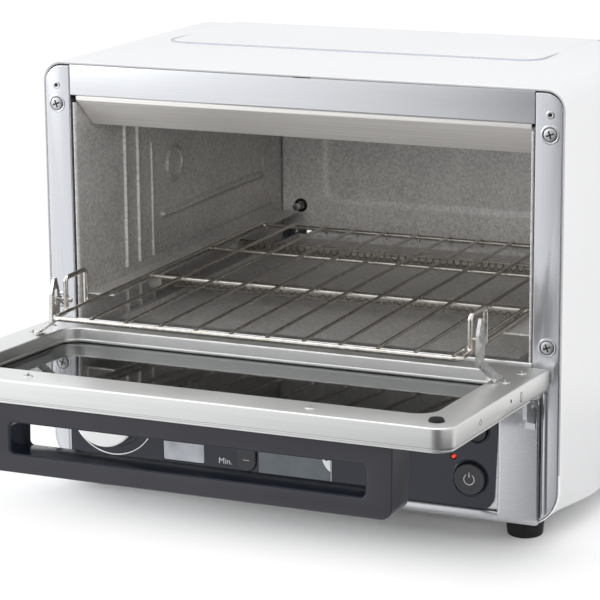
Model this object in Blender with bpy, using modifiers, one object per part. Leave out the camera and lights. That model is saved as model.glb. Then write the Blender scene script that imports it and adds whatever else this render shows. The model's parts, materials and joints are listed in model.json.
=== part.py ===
"""Toaster oven with a drop-down door whose hooks carry the wire rack forward as it opens.

Every size below is in millimetres, and MM turns it into Blender's metres. +Z is up and the front faces -Y.
The door is modelled open, as it rests on its stop. The front frame's outer face is the plane y = 0 until
the very end, when the whole oven is moved along Y so that the origin lies under the middle of its box.
"""

import math

import bmesh
import bpy
from mathutils import Matrix, Vector

MM = 0.001
GAP = 0.3  # clearance between pieces that touch

# Body
CASE_WIDTH = 332.0
DEPTH = 328.0
CASING_FRONT_Y = 1.5
BASE_Z = 12.0
SILL_Z = 109.5
OPENING_TOP_Z = 248.0
HEADER_TOP_Z = 266.0
ROOF_Z = 268.0
ROOF_FLAT_TO = 196.0
ROOF_BEND_RADIUS = 110.0
ROOF_SLOPE = math.radians(12.0)
CORNER_RADIUS = 12.0
SHEET = 0.9
FRAME_DEPTH = 8.0
OPENING_HALF = 148.0
FASCIA_HALF = 153.6
FASCIA_TOP_Z = 94.0
FASCIA_FRONT_Y = -1.2
FASCIA_THICK = 1.6
COLUMN_LOW_RADIUS = 8.0
BAFFLE_PATH = [(3.0, 247.0), (3.0, 245.0), (23.5, 227.0), (34.0, 227.0)]
BAFFLE_HALF = 145.4
SCREW_RADIUS = 3.3
SCREW_PROUD = 1.9
FRAME_SCREWS = {
    "upper_left": (-157.2, 242.4),
    "upper_right": (157.2, 242.4),
    "lower_left": (-157.2, 119.4),
    "lower_right": (157.2, 119.4),
}

# Rear cover and base
REAR_COVER_Y = DEPTH - 2.4
VENT_LEFTS = (-104.0, -50.0, 4.0, 58.0)
VENT_ROWS = (34.0, 48.0, 62.0, 76.0, 190.0, 204.0)
VENT_WIDTH = 42.0
VENT_HEIGHT = 4.0
GLAND_X = -128.0
GLAND_Z = 40.0
GLAND_HOLE_RADIUS = 8.0
BASE_HALF = 164.0
BASE_FRONT_Y = 10.0
BASE_VENT_ROWS = (110.0, 150.0, 190.0)
BASE_VENT_HALF = 60.0
BASE_VENT_DEPTH = 6.0

# Cavity
WALL_X = 146.0
WALL_FRONT_Y = 9.0
WALL_REAR_Y = 306.0
FLOOR_Z = 100.0
CEILING_Z = 244.0
CEILING_BEND_Y = 180.0
CEILING_REAR_Z = CEILING_Z - (WALL_REAR_Y - CEILING_BEND_Y) * math.tan(ROOF_SLOPE)
TRAY_SLOT_TOP_Z = 107.0
TRAY_SLOT_HALF = 135.0
SENSOR_X = -130.9
SENSOR_Z = 124.7
SENSOR_RADIUS = 2.4
SENSOR_LENGTH = 18.0
SENSOR_FRONT_Y = WALL_REAR_Y - 10.0
RAIL_INNER_X = 126.3
RAIL_OUTER_X = 145.6
RAIL_REAR_Y = 289.0
RAIL_HEIGHT = 6.0
TRAY_HALF = 132.0
TRAY_FRONT_Y = 14.0
TRAY_BOTTOM_Z = FLOOR_Z + 0.6
TRAY_HEIGHT = 4.0
TRAY_SHEET = 0.8
TRAY_GRIP_HALF = 40.0
TRAY_GRIP_DEPTH = 6.0
HEATER_RADIUS = 4.0
HEATER_CAP_RADIUS = 6.2
HEATER_CAP_LENGTH = 9.0
HEATERS = {
    "heater_upper_front": (95.0, 233.0),
    "heater_upper_rear": (188.0, 231.0),
    "heater_lower_front": (98.0, 113.5),
    "heater_lower_rear": (214.0, 113.5),
}

# Door, in its own frame: origin on the hinge axis, +Z out of the inner face, -Y towards the free edge
PIVOT_Y = -14.0
PIVOT_Z = 98.0
DOOR_REST_TILT = math.radians(2.6)
DOOR_HALF = 161.0
DOOR_FREE_EDGE = -155.0
DOOR_HINGE_EDGE = 11.0
DOOR_INNER = SILL_Z - PIVOT_Z
DOOR_OUTER = DOOR_INNER - 12.2
DOOR_CORNER = 11.0
WINDOW_HALF = 140.0
WINDOW_FRONT = -127.5
WINDOW_REAR = -10.5
WINDOW_CORNER = 12.0
DOOR_ROUNDING = 7.0
GLASS_TOP = DOOR_INNER - 9.0
GLASS_THICK = 2.6
GLASS_LAP = 3.0
POCKET_GAP = 0.5
TRIM_THICK = 1.0
BUMPER_X = 148.0
BUMPER_Y = DOOR_FREE_EDGE + 15.5
BUMPER_RADIUS = 4.4
LUG_X = 150.5
LUG_HALF_GAP = 3.0
LUG_THICK = 4.4
LUG_HALF_WIDTH = 5.0
NOTCH_TOP = 5.8
HINGE_PIN_RADIUS = 2.0
HINGE_PIN_LENGTH = 14.4
BRACKET_THICK = 2.5
BRACKET_EYE_RADIUS = 4.2
BRACKET_FLANGE_Z = 71.0
BRACKET_FLANGE_HEIGHT = 11.0
HOOK_X = 133.7
HOOK_Y = -37.6
HOOK_HALF_WIDTH = 4.8
HOOK_THICK = 2.0
HOOK_PIN_Y = -31.5
HOOK_PIN_Z = 32.5
HOOK_PIN_RADIUS = 1.2
HOOK_FOOT_X = 145.5
HOOK_BEND_Z = 20.5
HOOK_TIP_Z = 46.5
HOOK_PIN_LENGTH = 8.4
HOOK_EAR_RADIUS = 2.5
HOOK_SLOT_HALF = 1.6
HOOK_SLOT_LOW = HOOK_TIP_Z - 16.0
HOOK_SLOT_HIGH = HOOK_TIP_Z - 6.5
HANDLE_LEFT = -118.0
HANDLE_RIGHT = 127.5
HANDLE_FRONT = -149.0
HANDLE_REAR = -125.0
HANDLE_TOP = -2.3
HANDLE_BOTTOM = -42.6
HANDLE_SLOT = (-102.0, 112.8, -32.2, -13.4)

# Rack
RACK_Z = 125.5
RACK_FRONT_Y = -65.0
RACK_REAR_Y = 230.0
RACK_SIDE_X = 128.0
FRAME_WIRE = 1.5
GRID_WIRE = 1.1
GRID_COUNT = 12
GRID_OUTER_X = 124.6
ARCH_FRONT_Y = -48.0
ARCH_REAR_Y = -23.0
ARCH_TOP_Z = 21.0
RACK_CORNER = 5.0
ARCH_CORNER = 3.0
GRID_RISE = FRAME_WIRE + GRID_WIRE - 0.7
GRID_TAIL_Z = -4.0
CROSS_WIRE = 1.4
CROSS_WIRE_YS = (58.0, 146.0)
CROSS_WIRE_Z = GRID_RISE - GRID_WIRE - FRAME_WIRE + 0.6

# Controls on the fascia
PANEL_LEFT = -152.6
PANEL_RIGHT = 128.0
PANEL_BOTTOM_Z = 19.0
PANEL_TOP_Z = 92.5
PANEL_FRONT_Y = -2.4
PANEL_BACK_Y = -1.5
LCD = (-88.2, -60.6, 25.8, 57.2)
LCD_GAP = 0.4
DIAL_X = -123.0
DIAL_Z = 54.5
DIAL_RADIUS = 21.5
DIAL_FRONT_Y = -17.0
DIAL_SHAFT_RADIUS = 4.0
BEZEL_INNER = 19.0
BEZEL_OUTER = 25.4
ENCODER_RADIUS = 8.0
POWER_X = 112.2
POWER_Z = 37.0
POWER_RADIUS = 9.4
START_X = 116.5
START_Z = 66.0
START_RADIUS = 5.6
MINUS_X = -31.4
PLUS_X = 58.0
KEY_Z = 34.0
KEY_HALF_WIDTH = 6.0
KEY_HALF_HEIGHT = 9.0
KEY_FRONT_Y = -4.2
KEY_DEPTH = 8.0
LED_X = 101.6
LED_Z = 49.2
LED_RADIUS = 1.5

# Circuit boards
BOARD_THICK = 1.6
POST_RADIUS = 2.4
CONTROL_BOARD_Y = 13.5
CONTROL_BOARD = (-138.0, 134.0, 20.0, 88.0)
CONTROL_POSTS = ((-134, 84), (-60, 84), (60, 84), (130, 84))
POWER_BOARD_Z = 20.0
POWER_BOARD = (20.0, 130.0, 130.0, 230.0)
POWER_POSTS = ((25, 135), (125, 135), (25, 225), (125, 225))

FOOT_X = 139.0
FOOT_FRONT_Y = 19.0
FOOT_REAR_Y = 298.0
FOOT_RADIUS = 13.0

FINISHES = {
    "white_enamel": ((0.86, 0.86, 0.87), 0.35, 0.0),
    "brushed_steel": ((0.62, 0.62, 0.64), 0.35, 1.0),
    "aluminised_steel": ((0.45, 0.45, 0.46), 0.5, 1.0),
    "zinc_steel": ((0.55, 0.55, 0.56), 0.4, 1.0),
    "chrome_wire": ((0.7, 0.68, 0.64), 0.2, 1.0),
    "door_glass": ((0.05, 0.06, 0.06), 0.05, 0.0),
    "dark_plastic": ((0.06, 0.06, 0.07), 0.45, 0.0),
    "gloss_black": ((0.02, 0.02, 0.025), 0.1, 0.0),
    "silver_dial": ((0.8, 0.8, 0.8), 0.3, 0.0),
    "quartz": ((0.75, 0.7, 0.62), 0.25, 0.0),
    "rubber": ((0.03, 0.03, 0.03), 0.8, 0.0),
    "circuit_green": ((0.05, 0.2, 0.1), 0.6, 0.0),
    "red_lens": ((0.8, 0.05, 0.03), 0.3, 0.0),
    "display_lens": ((0.35, 0.38, 0.38), 0.2, 0.0),
}


# ---------------------------------------------------------------- scene helpers


def clear_scene():
    for obj in list(bpy.data.objects):
        bpy.data.objects.remove(obj, do_unlink=True)


def new_collection(name):
    collection = bpy.data.collections.new(name)
    bpy.context.scene.collection.children.link(collection)
    return collection


def material(name):
    found = bpy.data.materials.get(name)
    if found:
        return found
    color, roughness, metallic = FINISHES[name]
    made = bpy.data.materials.new(name)
    made.use_nodes = True
    shader = made.node_tree.nodes["Principled BSDF"]
    shader.inputs["Base Color"].default_value = (*color, 1.0)
    shader.inputs["Roughness"].default_value = roughness
    shader.inputs["Metallic"].default_value = metallic
    return made


def add_object(name, data, finish, parent=None, location=(0, 0, 0)):
    """A new object, as a part with a finish or, with finish None, as a cutter."""
    obj = bpy.data.objects.new(name, data)
    (PARTS if finish else CUTTERS).objects.link(obj)
    obj.location = Vector(location) * MM
    obj.parent = parent
    if finish:
        data.materials.append(material(finish))
    else:
        obj.hide_render = True
        obj.display_type = "WIRE"
    return obj


def smooth(obj, angle=35.0):
    obj.data.shade_smooth()
    obj.data.set_sharp_from_angle(angle=math.radians(angle))
    return obj


def add_bevel(obj, width, segments=2, limit=35.0):
    modifier = obj.modifiers.new("Rounded edges", "BEVEL")
    modifier.width = width * MM
    modifier.segments = segments
    modifier.limit_method = "ANGLE"
    modifier.angle_limit = math.radians(limit)
    return obj


def boolean(obj, other, operation="DIFFERENCE"):
    modifier = obj.modifiers.new(f"{operation.title()} {other.name}", "BOOLEAN")
    modifier.operation = operation
    modifier.object = other
    modifier.solver = "EXACT"
    return obj


# ---------------------------------------------------------------- shapes


def box(name, low, high, finish, parent=None, bevel=0.0, segments=2):
    """A block between two corners, with its origin at its middle."""
    low, high = Vector(low), Vector(high)
    mesh = bpy.data.meshes.new(name)
    shape = bmesh.new()
    bmesh.ops.create_cube(shape, size=1.0)
    bmesh.ops.scale(shape, vec=(high - low) * MM, verts=shape.verts)
    shape.to_mesh(mesh)
    shape.free()
    obj = add_object(name, mesh, finish, parent, (low + high) / 2)
    return add_bevel(obj, bevel, segments) if bevel else obj


def rod(name, centre, axis, radius, length, finish, parent=None, sides=24, radius_2=None, bevel=0.0):
    """A cylinder or cone along X, Y or Z, with its origin at its middle. radius_2 is at its +axis end."""
    mesh = bpy.data.meshes.new(name)
    shape = bmesh.new()
    bmesh.ops.create_cone(
        shape,
        cap_ends=True,
        segments=sides,
        radius1=radius * MM,
        radius2=(radius if radius_2 is None else radius_2) * MM,
        depth=length * MM,
    )
    turn = {
        "X": Matrix.Rotation(math.pi / 2, 4, "Y"),
        "Y": Matrix.Rotation(-math.pi / 2, 4, "X"),
        "Z": Matrix.Identity(4),
    }[axis]
    bmesh.ops.transform(shape, matrix=turn, verts=shape.verts)
    shape.to_mesh(mesh)
    shape.free()
    obj = smooth(add_object(name, mesh, finish, parent, centre))
    return add_bevel(obj, bevel) if bevel else obj


def as_mesh(curve, name, finish, parent=None):
    """The curve's solid as a mesh object in its place. The curve is removed."""
    bpy.context.view_layer.update()
    graph = bpy.context.evaluated_depsgraph_get()
    mesh = bpy.data.meshes.new_from_object(curve.evaluated_get(graph))
    shape = bmesh.new()
    shape.from_mesh(mesh)
    bmesh.ops.remove_doubles(shape, verts=shape.verts, dist=1e-6)
    bmesh.ops.transform(shape, matrix=curve.matrix_world, verts=shape.verts)
    bmesh.ops.recalc_face_normals(shape, faces=shape.faces)
    shape.to_mesh(mesh)
    shape.free()
    mesh.name = name
    mesh.materials.clear()
    bpy.data.objects.remove(curve, do_unlink=True)
    return add_object(name, mesh, finish, parent)


def new_curve(name, dimensions):
    curve = bpy.data.curves.new(name, "CURVE")
    curve.dimensions = dimensions
    obj = bpy.data.objects.new(name, curve)
    PARTS.objects.link(obj)
    return obj


def add_spline(curve, points, closed):
    spline = curve.splines.new("POLY")
    spline.points.add(len(points) - 1)
    for point, place in zip(spline.points, points):
        point.co = (*[value * MM for value in place], 1.0)
    spline.use_cyclic_u = closed


def outline_solid(name, loops, plane, start, thickness, finish, parent=None):
    """Closed outlines, the first one outside and the rest holes, given a thickness from start along an axis.

    plane XZ is read as (x, z) and runs along +Y, YZ as (y, z) along +X, and XY as (x, y) along +Z.
    """
    obj = new_curve(name, "2D")
    for loop in loops:
        add_spline(obj.data, [(u, v, 0.0) for u, v in loop], True)
    obj.data.fill_mode = "BOTH"
    obj.data.extrude = thickness / 2 * MM
    middle = (start + thickness / 2) * MM
    place = {
        "XY": Matrix.Translation((0, 0, middle)),
        "XZ": Matrix.Translation((0, middle, 0)) @ Matrix.Rotation(math.pi / 2, 4, "X"),
        "YZ": Matrix.Translation((middle, 0, 0))
        @ Matrix.Rotation(math.pi / 2, 4, "Z")
        @ Matrix.Rotation(math.pi / 2, 4, "X"),
    }[plane]
    obj.matrix_world = place
    return as_mesh(obj, name, finish, parent)


def wire(name, points, radius, finish, closed=False, parent=None):
    """A round wire through the points, as a mesh."""
    obj = new_curve(name, "3D")
    obj.data.bevel_depth = radius * MM
    obj.data.bevel_resolution = 2
    obj.data.use_fill_caps = True
    add_spline(obj.data, points, closed)
    return smooth(as_mesh(obj, name, finish, parent))


def round_corners(corners, steps=5, closed=True):
    """A 2D or 3D path through corners, each (*place, radius), with an arc where the radius isn't zero."""
    path = []
    count = len(corners)
    for index, corner in enumerate(corners):
        here, radius = Vector(corner[:-1]), corner[-1]
        at_end = not closed and index in (0, count - 1)
        if radius <= 0 or at_end:
            path.append(tuple(here))
            continue
        before = (Vector(corners[index - 1][:-1]) - here).normalized()
        after = (Vector(corners[(index + 1) % count][:-1]) - here).normalized()
        half = before.angle(after) / 2
        start = here + before * (radius / math.tan(half))
        end = here + after * (radius / math.tan(half))
        centre = here + (before + after).normalized() * (radius / math.sin(half))
        for step in range(steps + 1):
            towards = start.lerp(end, step / steps) - centre
            # equal chords are close enough to equal arcs for a corner of up to 90 degrees
            path.append(tuple(centre + towards.normalized() * radius))
    return path


def rectangle(left, right, bottom, top, radius=0.0, steps=5):
    corners = [(left, bottom, radius), (right, bottom, radius), (right, top, radius), (left, top, radius)]
    return round_corners(corners, steps)


def sheet_profile(points, thickness):
    """The outline of a folded sheet: the path, and its copy offset to the left of its direction."""
    path = [Vector(point) for point in points]
    other = []
    for index, here in enumerate(path):
        sides = []
        if index > 0:
            sides.append((here - path[index - 1]).normalized())
        if index < len(path) - 1:
            sides.append((path[index + 1] - here).normalized())
        normals = [Vector((-side.y, side.x)) for side in sides]
        mitre = sum(normals, Vector((0.0, 0.0))).normalized()
        other.append(here + mitre * (thickness / mitre.dot(normals[0])))
    return [tuple(point) for point in path + other[::-1]]


AXIS_TURNS = {
    "Z": (0.0, 0.0, 0.0),
    "+X": (0.0, math.pi / 2, 0.0),
    "+Y": (-math.pi / 2, 0.0, 0.0),
    "-Y": (math.pi / 2, 0.0, 0.0),
}


def turned(name, profile, centre, axis, finish, parent=None, steps=32):
    """A solid turned about an axis. The profile is (radius, height), from its top down its outer side."""
    mesh = bpy.data.meshes.new(name)
    points = [(radius * MM, 0.0, height * MM) for radius, height in profile]
    mesh.from_pydata(points, [(i, i + 1) for i in range(len(points) - 1)], [])
    obj = add_object(name, mesh, finish, parent, centre)
    screw = obj.modifiers.new("Turned", "SCREW")
    screw.steps = steps
    screw.render_steps = steps
    screw.use_merge_vertices = True
    screw.merge_threshold = 0.00001
    screw.use_smooth_shade = True
    obj.rotation_euler = AXIS_TURNS[axis]
    return obj


# ---------------------------------------------------------------- body shell


def roof_height(y):
    """The roof's height at y: flat, then an arc, then a straight fall to the rear."""
    arc = ROOF_BEND_RADIUS * math.sin(ROOF_SLOPE)
    if y <= ROOF_FLAT_TO:
        return ROOF_Z
    if y <= ROOF_FLAT_TO + arc:
        return ROOF_Z - ROOF_BEND_RADIUS + math.sqrt(ROOF_BEND_RADIUS**2 - (y - ROOF_FLAT_TO) ** 2)
    drop = ROOF_BEND_RADIUS * (1 - math.cos(ROOF_SLOPE))
    return ROOF_Z - drop - (y - ROOF_FLAT_TO - arc) * math.tan(ROOF_SLOPE)


def make_outer_casing():
    """The wrap-round cover: both sides and the roof in one sheet, lofted along Y and thickened inwards."""
    stations = [CASING_FRONT_Y, 100.0, ROOF_FLAT_TO]
    stations += [ROOF_FLAT_TO + ROOF_BEND_RADIUS * math.sin(ROOF_SLOPE) * step / 4 for step in range(1, 5)]
    stations += [DEPTH]
    half = CASE_WIDTH / 2
    shape = bmesh.new()
    rows = []
    for y in stations:
        top = roof_height(y)
        corners = [
            (-half, BASE_Z, 0.0),
            (-half, top, CORNER_RADIUS),
            (half, top, CORNER_RADIUS),
            (half, BASE_Z, 0.0),
        ]
        path = round_corners(corners, steps=6, closed=False)
        rows.append([shape.verts.new((x * MM, y * MM, z * MM)) for x, z in path])
    for near, far in zip(rows, rows[1:]):
        for i in range(len(near) - 1):
            shape.faces.new((near[i], near[i + 1], far[i + 1], far[i]))
    bmesh.ops.recalc_face_normals(shape, faces=shape.faces)
    roof = max(shape.faces, key=lambda face: face.calc_center_median().z)
    if roof.normal.z < 0:
        bmesh.ops.reverse_faces(shape, faces=shape.faces)
    mesh = bpy.data.meshes.new("outer_casing")
    shape.to_mesh(mesh)
    shape.free()
    obj = smooth(add_object("outer_casing", mesh, "white_enamel"))
    solidify = obj.modifiers.new("Sheet", "SOLIDIFY")
    solidify.thickness = SHEET * MM
    solidify.offset = -1.0
    solidify.use_even_offset = True


def make_rear_cover():
    """The flat rear cover, with cooling vents, a slot for the crumb tray and the cord's grommet."""
    inside = CASE_WIDTH / 2 - SHEET - 0.4
    top = roof_height(DEPTH) - SHEET - 0.8
    outline = rectangle(-inside, inside, BASE_Z + 2.6, top, 9.0)
    cover = outline_solid("rear_cover", [outline], "XZ", REAR_COVER_Y, SHEET, "zinc_steel")
    slot_low = (-TRAY_SLOT_HALF, DEPTH - 8, TRAY_BOTTOM_Z - 1.2)
    slot_high = (TRAY_SLOT_HALF, DEPTH + 8, TRAY_SLOT_TOP_Z)
    boolean(cover, box("tray_slot_cutter", slot_low, slot_high, None))
    for row, z in enumerate(VENT_ROWS):
        for column, x in enumerate(VENT_LEFTS):
            vent = rectangle(x, x + VENT_WIDTH, z, z + VENT_HEIGHT, 1.8, 3)
            boolean(cover, outline_solid(f"vent_cutter_{row}_{column}", [vent], "XZ", DEPTH - 6, 10, None))
    boolean(cover, rod("gland_cutter", (GLAND_X, DEPTH - 2, GLAND_Z), "Y", GLAND_HOLE_RADIUS, 12, None))
    neck = GLAND_HOLE_RADIUS - 0.4
    profile = [(0, 4.5), (5.0, 4.5), (11.0, 3.0), (11.0, 0.6), (neck, 0.6), (neck, -4.0), (0, -4.0)]
    turned("cord_gland", profile, (GLAND_X, DEPTH - 0.8, GLAND_Z), "+Y", "rubber")


def make_base():
    low, high = (-BASE_HALF, BASE_FRONT_Y, BASE_Z + 0.6), (BASE_HALF, DEPTH - 3, BASE_Z + 1.8)
    base = box("base_plate", low, high, "zinc_steel")
    for index, y in enumerate(BASE_VENT_ROWS):
        vent = rectangle(-BASE_VENT_HALF, BASE_VENT_HALF, y, y + BASE_VENT_DEPTH, 3, 3)
        boolean(base, outline_solid(f"base_vent_cutter_{index}", [vent], "XY", 8, 10, None))
    top = BASE_Z + GAP
    profile = [(0, top), (FOOT_RADIUS, top), (FOOT_RADIUS - 0.6, 1.5), (FOOT_RADIUS - 2.0, 0), (0, 0)]
    for side, x in (("left", -FOOT_X), ("right", FOOT_X)):
        for end, y in (("front", FOOT_FRONT_Y), ("rear", FOOT_REAR_Y)):
            turned(f"foot_{end}_{side}", profile, (x, y, 0), "Z", "rubber", steps=24)


def column_outline(side, inset):
    """The front column's outline, narrower beside the fascia. inset shrinks it all round, for its hollow."""
    outer = CASE_WIDTH / 2 - SHEET - GAP - inset
    inner = OPENING_HALF + GAP + inset
    low = FASCIA_HALF + 0.9 + inset
    bottom = BASE_Z + 0.6 + inset
    top = HEADER_TOP_Z - inset
    step_z = SILL_Z - 3.5 + inset
    corners = [
        (low, bottom, 0.0),
        (outer, bottom, COLUMN_LOW_RADIUS - inset),
        (outer, top, CORNER_RADIUS - inset),
        (inner, top, 0.0),
        (inner, step_z, 0.0),
        (low, step_z, 0.0),
    ]
    path = round_corners(corners, steps=5)
    return path if side > 0 else [(-x, z) for x, z in reversed(path)]


def cross_rail(name, path, half, thickness, finish):
    """A folded sheet that runs across the oven. The path is (y, z), and the sheet grows to its left."""
    return outline_solid(name, [sheet_profile(path, thickness)], "YZ", -half, 2 * half, finish)


def make_front_frame():
    for name, side in (("left", -1), ("right", 1)):
        outline, inside = column_outline(side, 0.0), column_outline(side, SHEET)
        column = outline_solid(f"front_column_{name}", [outline], "XZ", 0.0, FRAME_DEPTH, "brushed_steel")
        boolean(column, outline_solid(f"column_cutter_{name}", [inside], "XZ", SHEET, FRAME_DEPTH, None))
    header = [
        (FRAME_DEPTH - 1, OPENING_TOP_Z + SHEET),
        (SHEET, OPENING_TOP_Z + SHEET),
        (SHEET, HEADER_TOP_Z - SHEET),
        (FRAME_DEPTH, HEADER_TOP_Z - SHEET),
    ]
    cross_rail("front_header", header, OPENING_HALF, SHEET, "brushed_steel")
    cross_rail("heat_baffle", BAFFLE_PATH, BAFFLE_HALF, 1.0, "brushed_steel")
    sill = [(SHEET, FASCIA_TOP_Z + 0.8), (SHEET, SILL_Z - SHEET), (FRAME_DEPTH - 0.6, SILL_Z - SHEET)]
    cross_rail("front_sill", sill, OPENING_HALF, SHEET, "brushed_steel")
    pan = [
        (0, SCREW_PROUD),
        (SCREW_RADIUS * 0.55, SCREW_PROUD - 0.05),
        (SCREW_RADIUS * 0.9, SCREW_PROUD - 0.7),
        (SCREW_RADIUS, GAP),
        (0, GAP),
    ]
    for name, (x, z) in FRAME_SCREWS.items():
        turned(f"frame_screw_{name}", pan, (x, 0.0, z), "-Y", "zinc_steel", steps=20)


# ---------------------------------------------------------------- cavity


def make_cavity():
    """The oven's liner: side walls, a sloping ceiling, the rear wall, the floor, rack rails and heaters."""
    side = [
        (WALL_FRONT_Y, FLOOR_Z - 1.2),
        (WALL_REAR_Y + 1.5, FLOOR_Z - 1.2),
        (WALL_REAR_Y + 1.5, CEILING_REAR_Z + 1.2),
        (CEILING_BEND_Y, CEILING_Z + 1.5),
        (WALL_FRONT_Y, CEILING_Z + 1.5),
    ]
    outline_solid("cavity_wall_left", [side], "YZ", -WALL_X - SHEET, SHEET, "aluminised_steel")
    outline_solid("cavity_wall_right", [side], "YZ", WALL_X, SHEET, "aluminised_steel")
    inner = WALL_X - 0.4
    low, high = (-inner, WALL_REAR_Y, TRAY_SLOT_TOP_Z), (inner, WALL_REAR_Y + SHEET, CEILING_REAR_Z - 0.6)
    rear = box("cavity_wall_rear", low, high, "aluminised_steel")
    hole = rod("sensor_hole_cutter", (SENSOR_X, WALL_REAR_Y, SENSOR_Z), "Y", SENSOR_RADIUS + 1, 12, None)
    boolean(rear, hole)
    middle = (SENSOR_X, SENSOR_FRONT_Y + SENSOR_LENGTH / 2, SENSOR_Z)
    rod("temperature_sensor", middle, "Y", SENSOR_RADIUS, SENSOR_LENGTH, "zinc_steel", sides=16, bevel=0.5)
    ceiling = [(WALL_FRONT_Y, CEILING_Z), (CEILING_BEND_Y, CEILING_Z), (WALL_REAR_Y - 0.5, CEILING_REAR_Z)]
    cross_rail("cavity_ceiling", ceiling, inner, SHEET, "aluminised_steel")
    low, high = (-inner, WALL_FRONT_Y, FLOOR_Z - SHEET), (inner, WALL_REAR_Y + 1.2, FLOOR_Z)
    box("cavity_floor", low, high, "aluminised_steel")
    make_rails()
    make_heaters()


def make_rails():
    """The two folded ledges that the rack slides on."""
    low = RACK_Z - FRAME_WIRE - 1.4
    front = WALL_FRONT_Y + 1
    for name, sign in (("left", -1), ("right", 1)):
        inner, outer = sign * RAIL_INNER_X, sign * RAIL_OUTER_X
        ledge = [(inner, low), (outer, low), (outer, low + RAIL_HEIGHT)]
        profile = sheet_profile(ledge if sign > 0 else ledge[::-1], 1.0)
        outline_solid(f"rack_rail_{name}", [profile], "XZ", front, RAIL_REAR_Y - front, "aluminised_steel")


def make_heaters():
    """Quartz heating tubes, each with a ceramic cap at both ends."""
    end = WALL_X - 0.5
    neck_end = end - HEATER_CAP_LENGTH
    profile = [(0, end), (HEATER_CAP_RADIUS, end), (HEATER_CAP_RADIUS, neck_end), (HEATER_RADIUS, neck_end)]
    profile += [(radius, -height) for radius, height in profile[::-1]]
    for name, (y, z) in HEATERS.items():
        turned(name, profile, (0, y, z), "+X", "quartz", steps=16)


def make_crumb_tray():
    """A shallow pan over the cavity floor that pulls out through the rear cover by its folded grip."""
    low = (-TRAY_HALF, TRAY_FRONT_Y, TRAY_BOTTOM_Z)
    high = (TRAY_HALF, DEPTH + 1, TRAY_BOTTOM_Z + TRAY_HEIGHT)
    tray = box("crumb_tray", low, high, "aluminised_steel")
    low = (-TRAY_HALF + 1, TRAY_FRONT_Y + 1, TRAY_BOTTOM_Z + TRAY_SHEET)
    high = (TRAY_HALF - 1, WALL_REAR_Y - 4, TRAY_BOTTOM_Z + 9)
    boolean(tray, box("tray_well_cutter", low, high, None))
    low = (-TRAY_HALF - 8, WALL_REAR_Y - 3, TRAY_BOTTOM_Z + 1)
    high = (TRAY_HALF + 8, DEPTH - 0.6, TRAY_BOTTOM_Z + 9)
    boolean(tray, box("tray_neck_cutter", low, high, None))
    low = (-TRAY_GRIP_HALF, DEPTH - GAP, TRAY_BOTTOM_Z)
    high = (TRAY_GRIP_HALF, DEPTH + TRAY_GRIP_DEPTH, TRAY_BOTTOM_Z + TRAY_HEIGHT + 1)
    boolean(tray, box("tray_grip", low, high, None, bevel=1.5), "UNION")


# ---------------------------------------------------------------- controls


def make_fascia():
    """The brushed fascia and its gloss panel, both cut for the controls, with the display and the lamp."""
    outline = rectangle(-FASCIA_HALF, FASCIA_HALF, BASE_Z + 0.6, FASCIA_TOP_Z, 2.0, 2)
    face = outline_solid("lower_fascia", [outline], "XZ", FASCIA_FRONT_Y, FASCIA_THICK, "brushed_steel")
    panel_outline = [
        (PANEL_LEFT, PANEL_BOTTOM_Z, 3.0),
        (PANEL_RIGHT - 1.4, PANEL_BOTTOM_Z, 8.0),
        (PANEL_RIGHT + 1.6, PANEL_TOP_Z, 2.0),
        (PANEL_LEFT, PANEL_TOP_Z, 2.0),
    ]
    thickness = PANEL_BACK_Y - PANEL_FRONT_Y
    loop = round_corners(panel_outline, steps=4)
    panel = outline_solid("control_panel", [loop], "XZ", PANEL_FRONT_Y, thickness, "gloss_black")
    left, right, bottom, top = LCD
    lcd_hole = rectangle(left - LCD_GAP, right + LCD_GAP, bottom - LCD_GAP, top + LCD_GAP, 1.2, 2)
    openings = [
        rod("dial_hole_cutter", (DIAL_X, 0, DIAL_Z), "Y", DIAL_SHAFT_RADIUS + 1, 30, None),
        rod("power_hole_cutter", (POWER_X, 0, POWER_Z), "Y", POWER_RADIUS + 0.8, 30, None, sides=32),
        rod("start_hole_cutter", (START_X, 0, START_Z), "Y", START_RADIUS + 0.6, 30, None, sides=24),
        rod("led_hole_cutter", (LED_X, 0, LED_Z), "Y", LED_RADIUS + 0.4, 30, None, sides=16),
        outline_solid("minus_hole_cutter", [key_outline(MINUS_X, 0.5)], "XZ", -15, 30, None),
        outline_solid("plus_hole_cutter", [key_outline(PLUS_X, 0.5)], "XZ", -15, 30, None),
        outline_solid("lcd_hole_cutter", [lcd_hole], "XZ", -15, 30, None),
    ]
    for opening in openings:
        boolean(panel, opening)
        boolean(face, opening)
    notch_low, notch_high = (-160, -10, BRACKET_FLANGE_Z - 0.6), (-LUG_X + 5.5, 10, PANEL_TOP_Z + 5)
    boolean(panel, box("bracket_notch_cutter", notch_low, notch_high, None))
    box("lcd_display", (left, -1.9, bottom), (right, 1.4, top), "display_lens", bevel=0.5)
    rod("led_lens", (LED_X, -1.0, LED_Z), "Y", LED_RADIUS, 3.6, "red_lens", sides=16, bevel=0.4)
    make_boards()


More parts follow.
